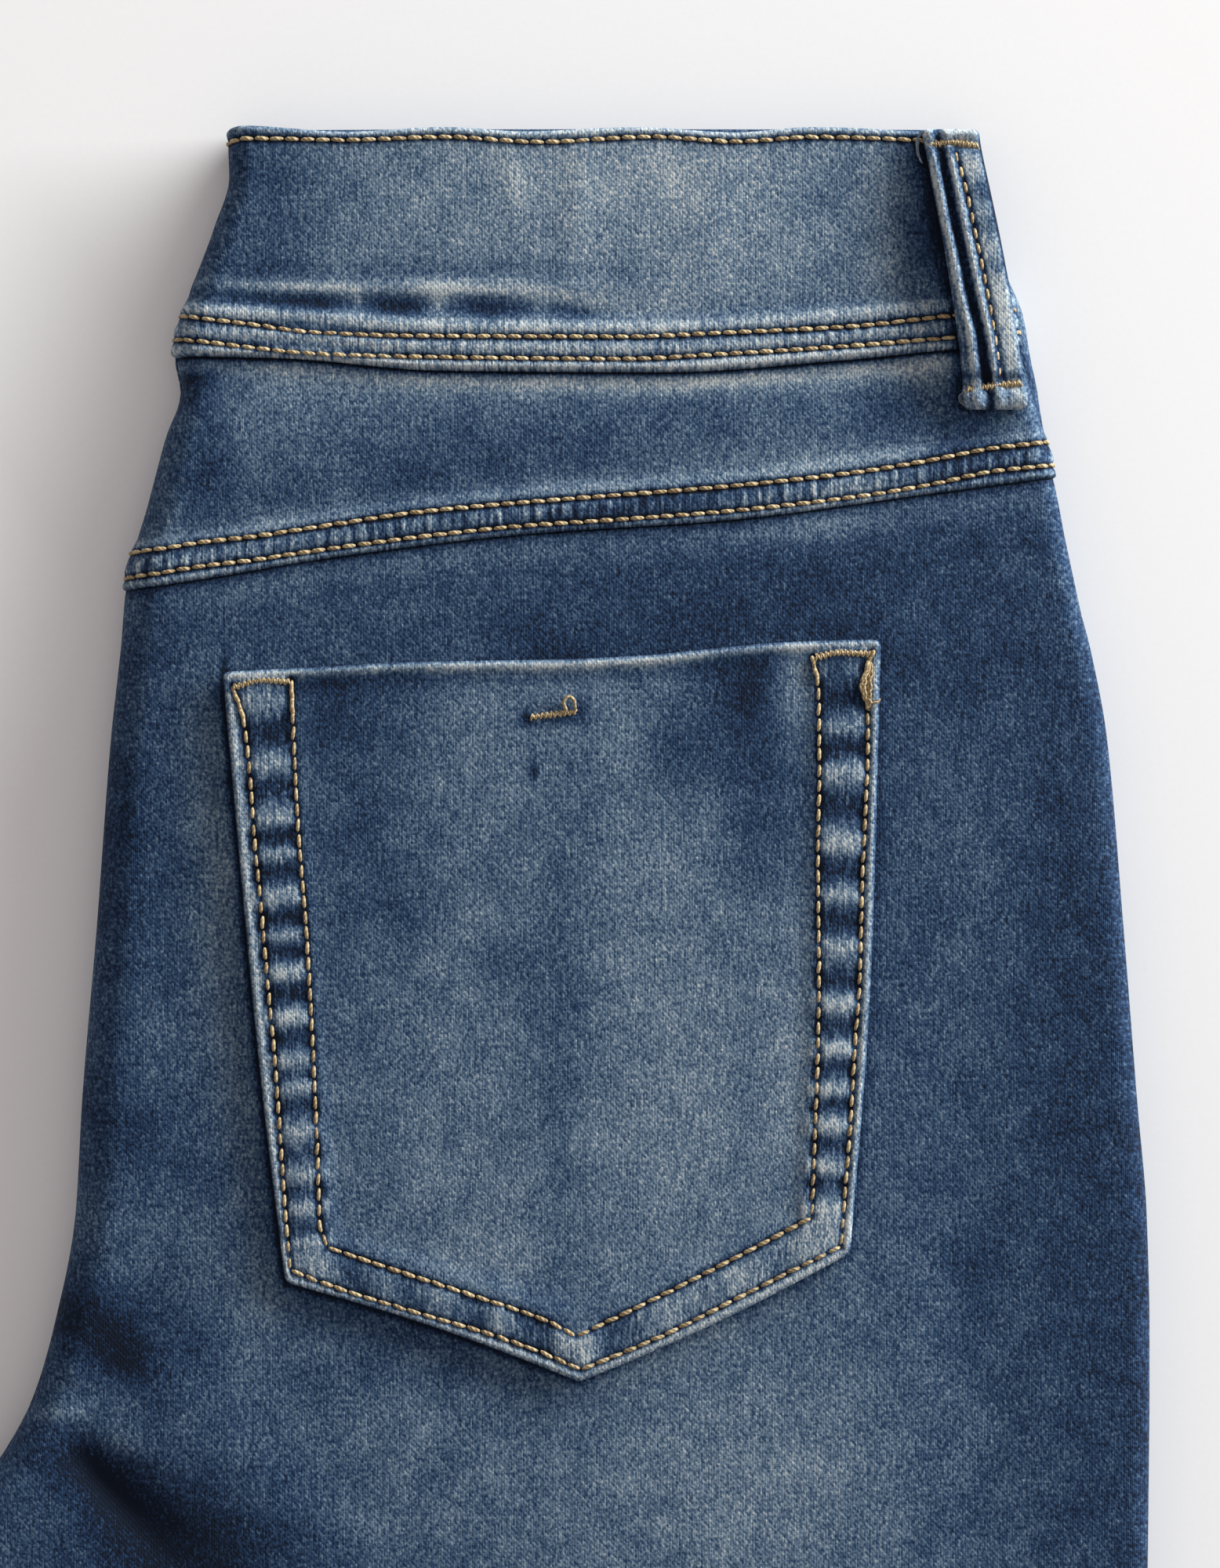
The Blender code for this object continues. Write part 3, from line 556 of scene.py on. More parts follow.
def swept(centres, up, half_width, half_height, sides=6):
    """Points, faces and UV of a thread along its centre points, flattened against the cloth."""
    along = unit(np.gradient(centres, axis=0))
    side = unit(np.cross(along, up))
    lift = np.cross(side, along)
    angle = np.arange(sides) * 2 * math.pi / sides
    ring = (side[:, None] * (np.cos(angle) * np.reshape(half_width, (-1, 1)))[..., None]
            + lift[:, None] * (np.sin(angle) * np.reshape(half_height, (-1, 1)))[..., None])
    points = (centres[:, None] + ring).reshape(-1, 3)
    count = len(centres)
    faces = [(first + k, first + (k + 1) % sides, first + sides + (k + 1) % sides, first + sides + k)
             for first in range(0, (count - 1) * sides, sides) for k in range(sides)]
    faces += [tuple(range(sides))[::-1], tuple(range((count - 1) * sides, count * sides))]
    place = np.stack([np.repeat(running(centres), sides), np.tile(np.arange(sides) / sides, count)], axis=1)
    return points, faces, place


def add_threads(name, threads, material, chance):
    """One piece of many threads, each a shade lighter or darker than the next."""
    points, faces, places, shade, first = [], [], [], [], 0
    for thread_points, thread_faces, place in threads:
        points.append(thread_points)
        faces += [[first + corner for corner in face] for face in thread_faces]
        places.append(place + (chance.random() * 3, 0.0))
        shade.append(np.full(len(thread_points), chance.random()))
        first += len(thread_points)
    item = add_mesh(name, joined(*points), faces, joined(*places), {"fade": joined(*shade)}, material)
    finish_piece(item, None)


def along_line(line, up, at):
    """Points and outward directions at distances along a line."""
    reach = running(line)
    point, normal = (np.stack([np.interp(at, reach, values[:, k]) for k in range(3)], axis=-1)
                     for values in (line, up))
    return point, unit(normal)


STITCH_PLACES = np.array([-1.0, -0.86, -0.5, 0.0, 0.5, 0.86, 1.0])


def stitch(line, up, middle, length, half_width, slant, sink=0.0):
    """One stitch that rises out of the cloth and goes back in."""
    centres, normals = along_line(line, up, middle + STITCH_PLACES * length / 2)
    side = np.cross(unit(centres[-1] - centres[0]), normals[3])
    height = half_width * (0.6 - 1.8 * STITCH_PLACES ** 6) - sink
    centres = centres + normals * height[:, None] + side * (STITCH_PLACES * slant)[:, None]
    width = half_width * (1 - 0.5 * STITCH_PLACES ** 4)
    return swept(centres, normals[3], width, width * 0.72)


def sew_row(line, up, sizes, chance, share=0.91, width=1.0, doubled=0.0):
    """Stitches along a line, doubled over a length at its start, or at its end where that is negative."""
    pitch, half = sizes.stitch_pitch * METRE, width * sizes.thread_width * METRE / 2
    count = max(1, round(length_of(line) / pitch))
    pitch = length_of(line) / count
    stitches = []
    for number in range(count):
        middle = (number + 0.5) * pitch + chance.normal(0, 0.07)
        length = pitch * (share + chance.normal(0, 0.02))
        slant = 0.1 + chance.normal(0, 0.07)
        stitches.append(stitch(line, up, middle, length, half * (1 + chance.normal(0, 0.05)), slant))
        if middle < doubled or middle > length_of(line) + doubled:
            stitches.append(stitch(line, up, middle + pitch * 0.45, pitch * 0.9, half * 1.2, -0.16))
    return stitches


def bar_tack(row, lift, width, chance, over=0.9):
    """A bar of close, short stitches across a line, over a padding thread."""
    line, up = on_cloth(row, lift) if isinstance(row, dict) else row
    length = length_of(line)
    inner = spaced(0.2, length - 0.2, 0.8)
    centres, normals = along_line(line, up, inner)
    padding_width, padding_height = np.full(len(inner), width * 0.36), np.full(len(inner), 0.3)
    threads = [swept(centres + normals * 0.1, normals[len(inner) // 2], padding_width, padding_height)]
    for number, middle in enumerate(spaced(0.3, length - 0.3, 0.52)):
        centre, normal = along_line(line, up, np.array([middle - 0.2, middle, middle + 0.2]))
        along = unit(centre[2] - centre[0])
        side = np.cross(along, normal[1])
        reach = width / 2 * (1 + chance.normal(0, 0.12))
        lean = (0.42 if number % 2 else -0.3) + chance.normal(0, 0.08)
        places = np.array([-1.0, -0.8, 0.0, 0.8, 1.0])
        path = centre[1] + side * (places * reach)[:, None] + along * (places * lean)[:, None]
        path = path + normal[1] * (over * (0.42 - 0.75 * places ** 4))[:, None]
        threads.append(swept(path, normal[1], np.full(5, 0.27), np.full(5, 0.2), 5))
    return threads


# Materials, each a short table of nodes: name, kind or math operation, inputs and settings.
# Yarn spacings are in mm; the strengths say how much each pattern of the wash adds to the tone.
WARP_PITCH = 0.36
WEFT_PITCH = 0.38
PICKS_PER_FLOAT = 3.0
BLOTCH, SPECKLE, SLUB, HEATHER = 0.66, 1.24, 0.2, 0.34
THREAD_TWIST = 1.1


def build_nodes(name, rows):
    """A new material from rows of nodes, each linked only to nodes in the rows before it."""
    material = bpy.data.materials.new(name)
    material.use_nodes = True
    tree = material.node_tree
    tree.nodes.clear()
    made = {}
    for row in rows:
        made[row[0]] = add_node(tree, made, *row)
    return material


def add_node(tree, made, name, kind, inputs=(), settings=()):
    """One node; a text such as "weave.Fac" among its inputs names another node's output."""
    is_math = kind.isupper()
    node = tree.nodes.new("ShaderNode" + ("Math" if is_math else kind))
    node.name = name
    if is_math:
        node.operation = kind
    for key, value in dict(settings).items():
        if key == "stops":
            ramp = node.color_ramp.elements
            while len(ramp) < len(value):
                ramp.new(0.5)
            for element, (position, colour) in zip(ramp, value):
                element.position = position
                element.color = (*colour, 1.0)
        else:
            setattr(node, key, value)
    for socket, value in inputs.items() if isinstance(inputs, dict) else enumerate(inputs):
        if isinstance(value, str):
            source, _, output = value.partition(".")
            tree.links.new(made[source].outputs[output or 0], node.inputs[socket])
        else:
            node.inputs[socket].default_value = value
    return node


def denim_material(name):
    """Stone-washed stretch denim, a 2/1 warp-faced twill: indigo warp over pale weft, worn on the ridges."""
    colours = bpy.context.scene.jeans_colours
    stops = [(0.0, linear("#071222")), (0.14, colours.deep), (0.34, linear("#233B5A")),
             (0.52, colours.middle), (0.7, linear("#687B8E")), (0.87, colours.pale), (1.0, linear("#B6BBBC"))]
    middle = 0.42 + 0.5 * (BLOTCH + SLUB + (SPECKLE + HEATHER))
    return build_nodes(name, (
        ("uv", "UVMap", (), {"uv_map": "cloth"}),
        ("mm", "VectorMath", {0: "uv", "Scale": METRE}, {"operation": "SCALE"}),
        ("parts", "SeparateXYZ", ["mm"]),
        ("fade", "Attribute", (), {"attribute_name": "fade"}),
        ("rub", "Attribute", (), {"attribute_name": "rub"}),
        # Yarns and floats of the twill: each float is a yarn wide and three picks long
        ("yarn", "DIVIDE", ["parts.X", WARP_PITCH]),
        ("yarn_number", "FLOOR", ["yarn"]),
        ("yarn_part", "FRACT", ["yarn"]),
        ("pick", "DIVIDE", ["parts.Y", WEFT_PITCH]),
        ("pick_stepped", "SUBTRACT", ["pick", "yarn_number"]),
        ("float", "DIVIDE", ["pick_stepped", PICKS_PER_FLOAT]),
        ("float_number", "FLOOR", ["float"]),
        ("float_part", "FRACT", ["float"]),
        ("which", "CombineXYZ", ["yarn_number", "float_number"]),
        ("chance", "TexWhiteNoise", {"Vector": "which"}, {"noise_dimensions": "2D"}),
        ("yarn_side", "MULTIPLY_ADD", ["yarn_part", 2.0, -1.0]),
        ("yarn_square", "MULTIPLY", ["yarn_side", "yarn_side"]),
        ("yarn_round", "SUBTRACT", [1.0, "yarn_square"]),
        ("float_angle", "MULTIPLY", ["float_part", math.pi]),
        ("float_round", "SINE", ["float_angle"]),
        ("weave", "MULTIPLY", ["yarn_round", "float_round"]),
        # Stone wash in blotches, slubs along the warp, and the speckle of rubbed yarns
        ("blotch", "TexNoise", {"Vector": "mm", "Scale": 0.11, "Detail": 5.0, "Roughness": 0.62}),
        ("speckle", "TexNoise", {"Vector": "mm", "Scale": 1.3, "Detail": 1.0, "Roughness": 0.6}),
        ("slub_place", "Mapping", {"Vector": "mm", "Scale": (1.1, 0.16, 1.0)}),
        ("slub", "TexNoise", {"Vector": "slub_place", "Scale": 1.0, "Detail": 2.0, "Roughness": 0.6}),
        ("hair_place", "Mapping", {"Vector": "mm", "Scale": (1.7, 0.22, 1.0)}),
        ("hair", "TexNoise", {"Vector": "hair_place", "Scale": 1.0, "Detail": 1.0}),
        ("tone_blotch", "MULTIPLY_ADD", ["blotch", BLOTCH, "fade.Fac"]),
        ("tone_speckle", "MULTIPLY_ADD", ["speckle", SPECKLE, "tone_blotch"]),
        ("tone_slub", "MULTIPLY_ADD", ["slub", SLUB, "tone_speckle"]),
        ("tone_chance", "MULTIPLY_ADD", ["chance", HEATHER, "tone_slub"]),
        ("tone_weave", "MULTIPLY_ADD", ["weave", -0.16, "tone_chance"]),
        ("hair_centred", "SUBTRACT", ["hair", 0.5]),
        ("hair_rub", "MULTIPLY", ["hair_centred", "rub.Fac"]),
        ("tone", "MULTIPLY_ADD", ["hair_rub", 1.3, "tone_weave"]),
        ("ramp_place", "MapRange", {"Value": "tone", "From Min": middle - 0.7, "From Max": middle + 0.7}),
        ("colour", "ValToRGB", ["ramp_place"], {"stops": stops}),
        ("height", "MULTIPLY_ADD", ["speckle", 0.9, "weave"]),
        ("bump", "Bump", {"Strength": 0.55, "Distance": 0.00016, "Height": "height"}),
        ("shader", "BsdfPrincipled", {"Base Color": "colour.Color", "Roughness": 0.88, "IOR": 1.45,
                                      "Specular IOR Level": 0.2, "Sheen Weight": 0.05,
                                      "Sheen Roughness": 0.45, "Sheen Tint": (0.7, 0.82, 1.0, 1.0),
                                      "Normal": "bump"}),
        ("out", "OutputMaterial", ["shader"]),
    ))


def thread_material(colours):
    """Spun polyester topstitching thread, two plies twisted, with a soft sheen; its golden colour is painted
    lighter on the plies and darker in the grooves between them, a painted highlight and shade.
    """
    stops = [(0.0, linear("#5F4B33")), (0.45, colours.thread), (1.0, linear("#B8A47E"))]
    return build_nodes("golden_topstitch_thread", (
        ("uv", "UVMap", (), {"uv_map": "cloth"}),
        ("parts", "SeparateXYZ", ["uv"]),
        ("fade", "Attribute", (), {"attribute_name": "fade"}),
        ("turns", "MULTIPLY_ADD", ["parts.X", METRE / THREAD_TWIST, 0.0]),
        ("round", "MULTIPLY_ADD", ["parts.Y", METRE * 2.0, "turns"]),
        ("angle", "MULTIPLY", ["round", 2 * math.pi]),
        ("ply", "SINE", ["angle"]),
        ("ply_tone", "MULTIPLY_ADD", ["ply", 0.2, 0.35]),
        ("tone", "MULTIPLY_ADD", ["fade.Fac", 0.5, "ply_tone"]),
        ("colour", "ValToRGB", ["tone"], {"stops": stops}),
        ("bump", "Bump", {"Strength": 0.5, "Distance": 0.00012, "Height": "ply"}),
        ("shader", "BsdfPrincipled", {"Base Color": "colour.Color", "Roughness": 0.55, "IOR": 1.5,
                                      "Specular IOR Level": 0.4, "Sheen Weight": 0.08, "Normal": "bump"}),
        ("out", "OutputMaterial", ["shader"]),
    ))


def yarn_material(colours):
    """Frayed ring-spun cotton yarn: indigo outside, white at the core, its broken ends pale and dry."""
    stops = [(0.0, colours.middle), (0.5, colours.pale), (1.0, linear("#C3C9CC"))]
    return build_nodes("frayed_cotton_yarn", (
        ("fade", "Attribute", (), {"attribute_name": "fade"}),
        ("colour", "ValToRGB", ["fade.Fac"], {"stops": stops}),
        ("shader", "BsdfPrincipled", {"Base Color": "colour.Color", "Roughness": 0.9,
                                      "Specular IOR Level": 0.2}),
        ("out", "OutputMaterial", ["shader"]),
    ))


def floor_material(colours):
    """Matt white studio board: even and slightly warm, with no gloss."""
    stops = [(0.3, [c * 0.985 for c in colours.floor]), (0.7, colours.floor)]
    return build_nodes("matt_white_board", (
        ("place", "TexCoord"),
        ("grain", "TexNoise", {"Vector": "place.Object", "Scale": 900.0, "Detail": 3.0}),
        ("colour", "ValToRGB", ["grain"], {"stops": stops}),
        ("shader", "BsdfPrincipled", {"Base Color": "colour.Color", "Roughness": 0.9,
                                      "Specular IOR Level": 0.15}),
        ("out", "OutputMaterial", ["shader"]),
    ))


# Tone of each piece: 0 is deep indigo, 1 is worn pale; in places it also carries painted shade and painted
# light
LEG_TONE = 0.3
# Leg tone spots: wash and wear, painted shade in the fold hollows at the lower left and under the pocket, and
# painted light beside the pocket where the cloth slopes away from the light
LEG_WEAR_LIGHT_AND_SHADE = named_table(SPOT, """
    64 84 9 2.6 8 0.2, -66 152 22 4.4 -86 0.28, -61 200 22 4.6 -84 0.18, 91 118 12 6 0 -0.13,
    -29 295 10 6 0 0.1, -60 300 8 5 -36 -0.13, 97 242 9 6 90 -0.12, 54 115 24 4 4 -0.12,
    118 95 4 8 0 0.22, 38 248 8 3 26 0.14, 33 259 9 3 26 0.18, 62 290 14 14 0 0.09,
    32 330 95 46 90 0.3, 52 98 42 9 6 -0.17, 108 185 80 16 90 -0.12, 122 240 90 7 90 -0.14,
    132 250 120 2.6 90 -0.22, 96 160 40 6 90 0.12, -88 150 17 6 90 -0.2, -77 156 14 5 90 -0.1,
    -88 208 5 5 0 -0.2, -80 219 6 6 0 -0.16, -76 196 5 6 0 0.12, -80 236 8 12 90 0.12,
    -90 256 8.5 5 -38 -0.56, -82 263 6 3.6 -40 -0.22, -100 290 16 12 -40 -0.08,
    -69 255.5 4 4.5 0 -0.14, -57 252 6 8 0 0.22, -77 102 6 5 0 -0.13, 101 102 6 5 0 -0.1,
    2 106 12 7 0 0.1, 49 300 8 6 0 0.1, -46 300 6 6 0 -0.12, -89 277 14 4.5 -16 0.16,
    -98.5 274 5 1.2 10 0.34, -91 286.5 10 3.4 -46 -0.56, -73 301 17 9 -36 -0.44, -82 303 9 5 -40 -0.14,
    -88 279 8 2 -18 0.12, -106 297 9 7 -50 0.1, -30 276 18 7 0 0.1, -12 264 22 3.5 -20 -0.12,
    50 279 26 9 10 0.1, 10 560 90 30 90 0.1, 12 760 90 24 90 0.14, 12 960 60 22 90 0.12""")
LEG_CREASES = named_table(SPOT, """
    -98 273.5 6 1.3 10 0.4, -92 285 11 2.6 -48 -0.9, -80 296 12 4 -42 -0.5""")
YOKE_TONE = 0.42
YOKE_FADES = named_table(SPOT, """
    62 53.5 40 2 3 0.3, -20 55 40 2 0 0.22, -70 53.4 4 1.6 0 -0.5, -70 57.5 4 3 0 -0.28,
    24 81.4 24 1.9 9 -0.4, -24 81.4 8 3 8 -0.14, 68 79.5 8 2.6 9 0.3, 107 75 8 3 8 -0.12,
    62 70 15 5.5 10 0.13, 95 82 8 3 10 -0.12, -52 66 12 8 0 0.1, -67 72 5 7 0 -0.3,
    -16 72.5 32 4.5 8 -0.16, 82 62 11 4.5 0 -0.2, 97 68 7 5 0 -0.2, 90.6 71 5 4 10 -0.3,
    88 56 4 6 0 0.16""")
BAND_TONE = 0.64
# Waistband tone spots: wash and wear, and the belt loop's painted shadow on the strip beside its left edge
BAND_WEAR_AND_SHADE = named_table(SPOT, """
    24 9 30 7 0 0.16, 20 22 36 13 0 0.08, 22 31 14 4 0 0.06, 18 38.6 9 2 0 0.1, -65 15 15 4.6 70 -0.3,
    -57 28 8 5 0 -0.24, -53 12 8 9 0 -0.3, -46 22 14 9 0 0.06, 86 18 5 18 0 -0.36,
    -2 11 4.6 1.7 -78 0.22, 12 12 9 2 88 0.1, 32 12 8 3 -60 0.12, -24 30.5 36 1.7 0 -0.22,
    -53 34 9 0.8 -2 0.4, -40 34.4 7 0.8 0 0.36, -20 34.6 5 1.2 0 0.42, -7 34.8 8 1 -4 0.34,
    -35.2 37.6 1.8 0.8 88 0.34, -18 37.6 1.8 1 92 0.46, 3.6 38.6 1.8 1.2 80 0.22, 9 36.4 9 1.1 -16 0.2,
    -58 36.8 7 1.4 -6 -0.56, -44 37.9 5.6 1.6 -4 -0.7, -26.6 38.4 4.6 1.7 0 -0.78,
    -7 38.8 5.8 1.7 -2 -0.72, 10.5 39.6 4.2 1.6 -6 -0.52, 22 41 6 1.2 -8 -0.16, 52 30 14 6 10 0.1,
    104.5 37 5 2.4 60 0.1, -38 49.6 12 1.2 -2 0.3, 54 49 12 1 3 0.2, 54 41 18 3 4 -0.16,
    -40 19 15 9 0 -0.1, 64 19 6 12 0 -0.1""")
BAND_CREASES = named_table(SPOT, """
    -24 34.4 30 1.4 0 0.4, -46 37.6 8 1.4 -4 -0.34, -26.5 38 5.2 1.4 0 -0.4, -7 38.6 6.4 1.4 -2 -0.36,
    10.5 39.4 4.6 1.3 -6 -0.3, 40 20 12 4 80 0.22, 12 14 12 2.4 86 0.25, -2 11 6 2.2 -78 0.14""")
POCKET_TONE = 0.48
POCKET_FADES = named_table(SPOT, """
    34 200 34 16 90 0.2, -14 195 34 9 84 0.1, 7.5 200 44 4 90 -0.16, -36 150 22 9 86 -0.2,
    -40 124 9 6 0 -0.26, -24 165 6 5 40 -0.14, 48.5 121 8 4 90 -0.46, 45 115 6 2.6 0 -0.2,
    57.5 121 8 2.6 90 0.26, -33 118 10 3 0 -0.16, 54 140 12 7 86 -0.2, 36 134 12 6 0 -0.12,
    6 152 20 12 90 0.04, -30 247 14 4 -18 -0.14, 4 226 30 12 0 0.06, 2.3 137.3 1.6 0.5 88 -0.8,
    6.4 126.6 5 0.9 5 -0.4, 0.9 126 0.9 1.1 0 -0.6, 12.4 124.6 0.8 1.5 0 -0.5, 6 123.8 5 0.9 5 -0.2,
    -3 240 9 7 0 0.16, 57 205 26 4 90 0.17, 10.3 136.8 1.2 0.5 90 -0.3, 38.5 133.5 6 5 0 -0.12,
    38.5 120 5 7 0 -0.18, 12 122 10 5 0 0.1, -8 133 10 5 0 0.1, 18 133 5 5 0 0.1, 49 155 5 12 0 -0.12,
    -3 180 7 7 0 -0.1, 10 217 9 6 0 0.08, 26 155 6 8 0 0.08""")
LOOP_TONE = 0.7
LOOP_FADES = named_table(SPOT, """
    97.4 14 3 2 0 -0.6, 99 21.2 2.6 1.6 20 -0.36, 101 30 2.6 1.5 0 -0.44, 96.6 9.2 2 2.2 90 0.14,
    102.6 43 9 2 -82 0.14, 92.6 42 2 4 0 0.1""")


def length_setting(name, description, default, low, high):
    """A length in metres that a user can change."""
    return FloatProperty(name=name, description=description, default=default, min=low, max=high,
                         unit="LENGTH", precision=5)


def colour_setting(name, description, code):
    """A colour that a user can change."""
    return FloatVectorProperty(name=name, description=description, default=linear(code), min=0.0, max=1.0,
                               subtype="COLOR", size=3)


class JeansSizes(bpy.types.PropertyGroup):
    """Sizes of the sewing that a user would change."""

    stitch_pitch: length_setting("Stitch pitch", "From one topstitch to the next", 0.00325, 0.002, 0.006)
    thread_width: length_setting("Thread width", "Width of the thread as it lies", 0.0009, 0.0004, 0.002)
    tack_width: length_setting("Tack width", "Width of the bar tacks", 0.0014, 0.0006, 0.003)


class JeansColours(bpy.types.PropertyGroup):
    """Colours of the wash and the thread that a user would change."""

    deep: colour_setting("Deep indigo", "Dye in the least worn cloth", "#10223C")
    middle: colour_setting("Washed blue", "The wash over most of the cloth", "#465A70")
    pale: colour_setting("Worn blue", "Cloth rubbed pale on ridges and edges", "#929CA3")
    thread: colour_setting("Thread", "Golden topstitching thread", "#9A825C")
    floor: colour_setting("Floor", "Studio board under the garment", "#F6F4F4")


def pressed(lift, close, hole):
    """Height of the cloth with its sewn rows pressed into it, deepest at the needle holes."""
    return lift - GROOVE_DEPTH * (ROW_SHARE * close + HOLE_SHARE * hole)


def top_panel(name, node, down, across, lift, fade, rub, rows, cloth):
    """Build a panel of the top cloth, press its sewn rows into it, and hide the solid it stands in for."""
    across = np.broadcast_to(across, down.shape)
    inside, normal = cloth_point(across, down), cloth_normal(across, down)
    close, hole = near_rows(inside + normal * lift[..., None], rows)
    # Darker along the sewn rows: unworn dye and painted shade in the needle grooves
    fade = fade - NEEDLE_DYE_AND_SHADE * (0.6 * close + 0.4 * hole)
    outside = inside + normal * pressed(lift, close, hole)[..., None]
    item = add_cloth(name, inside, outside, fade, rub, denim_material(cloth))
    finish_piece(item, node)


def finish_piece(item, node):
    """Hang a piece on the root body and hide the model's solid that it stands in for."""
    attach(item, "root")
    if node:
        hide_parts(node)


class JEANS_OT_lower_layers(bpy.types.Operator):
    """Lay the three lower layers of cloth, rounded together at the edges"""

    bl_idname = "jeans.lower_layers"
    bl_label = "Lower Layers"

    def execute(self, context):
        build_lower_layers(denim_material("deep_stretch_denim"))
        return {"FINISHED"}


def stack_outline(across, down):
    """Plan outline beside each border point, and its outward direction: squarely out at the corners."""
    points = cloth_point(across, down) - cloth_normal(across, down) * UNDER_GAP
    on_fold, on_side = across <= 0.0, across >= 3.0
    points[on_fold, 0] = outline("fold", down[on_fold])
    points[on_side, 0] = outline("side", down[on_side])
    plan = points[:, :2]
    tangent = np.roll(plan, -1, axis=0) - np.roll(plan, 1, axis=0)
    outward = unit(np.stack([tangent[:, 1], -tangent[:, 0]], axis=1))
    corner = (on_fold | on_side) & ((down <= 0.0) | (down >= LENGTH))
    outward[corner] = np.stack([np.where(on_fold, -1.0, 1.0), np.zeros(len(down))], axis=1)[corner]
    return plan, outward


def ring_mix(ring, part, leg_share, end_share):
    """A ring's height or inset for each border point: the fold's, a leg's and an end's, mixed."""
    fold, leg, end = (smooth(RINGS, f"{kind}_{part}", ring) for kind in ("fold", "leg", "end"))
    side = fold + (leg - fold) * leg_share
    return side + (end - side) * end_share


def stack_rings(across, down, room):
    """Rings of points round the stack from the floor up, how far each stands in, and their UV places."""
    at_end = (down <= END_MARGIN) | (down >= LENGTH - END_MARGIN)
    plan_down = np.where(at_end, np.round(down / LENGTH) * LENGTH, down)
    plan, outward = stack_outline(across, plan_down)
    end_share = at_end * ease(np.minimum(across, 3.0 - across), *CORNER_BLEND)
    leg_share = np.where(across < 1.5, ease(down, CROTCH_START, CROTCH_END), 1.0)
    lower_leg = smooth(LOWER_LEG, "past", down) * (across >= 3.0)
    under_edge = (cloth_at(down) + UNDER_GAP) * (1 - end_share)
    turn = np.where(across < 1.5, fold_turn(down), LEG_TURN)
    turned = turn * outline("height", down) - GAP
    room = turned + (room - turned) * end_share
    last = RINGS["ring"][-1]
    rings, insets = [], []
    for ring in np.linspace(0.0, last, RING_SAMPLES):
        height = ring_mix(ring, "height", leg_share, end_share) * room
        inset = ring_mix(ring, "in", leg_share, end_share)
        inset = np.where(ring > last - 1, np.maximum(inset, under_edge * (ring - last + 1)), inset)
        x, y = (plan - outward * inset[:, None]).T
        x = x + lower_leg * (1 - ease(ring, LOWER_RINGS - 0.6, LOWER_RINGS + 0.2))
        rings.append(np.stack([x, y, height], axis=1))
        insets.append(inset)
    steps = np.linalg.norm(np.diff(rings, axis=0), axis=2)
    reach = joined(np.cumsum(steps[::-1], axis=0)[::-1], np.zeros((1, len(down))))
    places = plan * (1, -1) + outward * (1, -1) * reach[..., None]
    return np.array(rings), np.array(insets), places


def build_lower_layers(material):
    """The layers under the top cloth, flat where they rest and grooved between the layers."""
    last = LENGTH - END_MARGIN
    downs = joined([END_MARGIN, 2.0], spaced(4.0, 320.0, 2.0), spaced(324.0, 1010.0, 5.0),
                   [1016.0, 1022.0, 1027.0, last])
    across, down = np.meshgrid(columns(1.0, STACK_TOP_STEPS, 6, 5), downs)
    top = cloth_point(across, down) - cloth_normal(across, down) * UNDER_GAP
    rows, cols = across.shape
    _, faces, border = grid_of(rows, cols)
    rim_height = top[..., 2].ravel()[border]
    rings, insets, places = stack_rings(across.ravel()[border], down.ravel()[border], rim_height)
    count, first_top = len(border), RING_SAMPLES * len(border)
    levels = [ring * count + np.arange(count) for ring in range(RING_SAMPLES)] + [first_top + border]
    walls = [np.stack([np.roll(low, 1), low, high, np.roll(high, 1)], axis=1)
             for low, high in zip(levels, levels[1:])]
    every = [tuple(levels[0][::-1])] + joined(*walls, faces + first_top).tolist()
    points = joined(rings.reshape(-1, 3), top.reshape(-1, 3))
    place = joined(places.reshape(-1, 2), np.stack([top[..., 0], -top[..., 1]], axis=-1).reshape(-1, 2))
    worn = 0.4 * bell(down, 37.0, 8.0) * (across >= 3.0)
    # Sides of the stack: darker the further a ring stands in, painted shade in the grooves between the layers
    sides = 0.34 - 0.1 * np.clip(insets, 0.0, 3.0) + worn.ravel()[border]
    fade = joined(sides.ravel(), np.full(rows * cols, 0.3))
    item = add_mesh("lower_layers", points, every, place, {"fade": fade, "rub": fade * 0.0}, material)
    finish_piece(item, "hidden_layers")


def painted_pocket_shadow(x, down):
    """Closeness to the pocket's outline, most on its left and lower left: the pocket's painted shadow on the
    leg.
    """
    share = np.linspace(0, 1, POCKET_SAMPLES)
    first, last = np.zeros(POCKET_SAMPLES), np.ones(POCKET_SAMPLES)
    near = (np.abs(x - 5) < 90) & (np.abs(down - 190) < 90)
    total = np.zeros(x.shape)
    for across, along, weight in ((first, share, 1.0), (share, last, 1.0), (last, share, 1.0),
                                  (share, first, 0.4)):
        tree = kdtree.KDTree(POCKET_SAMPLES)
        for number, point in enumerate(zip(*pocket_plan(across, along))):
            tree.insert((*point, 0.0), number)
        tree.balance()
        distance = np.array([tree.find((a, b, 0.0))[2] for a, b in zip(x[near], down[near])])
        total[near] = np.maximum(total[near], weight * bell(distance, 0.0, 1.0))
    return total * (1 - 0.65 * ease(x, 0.0, 24.0))


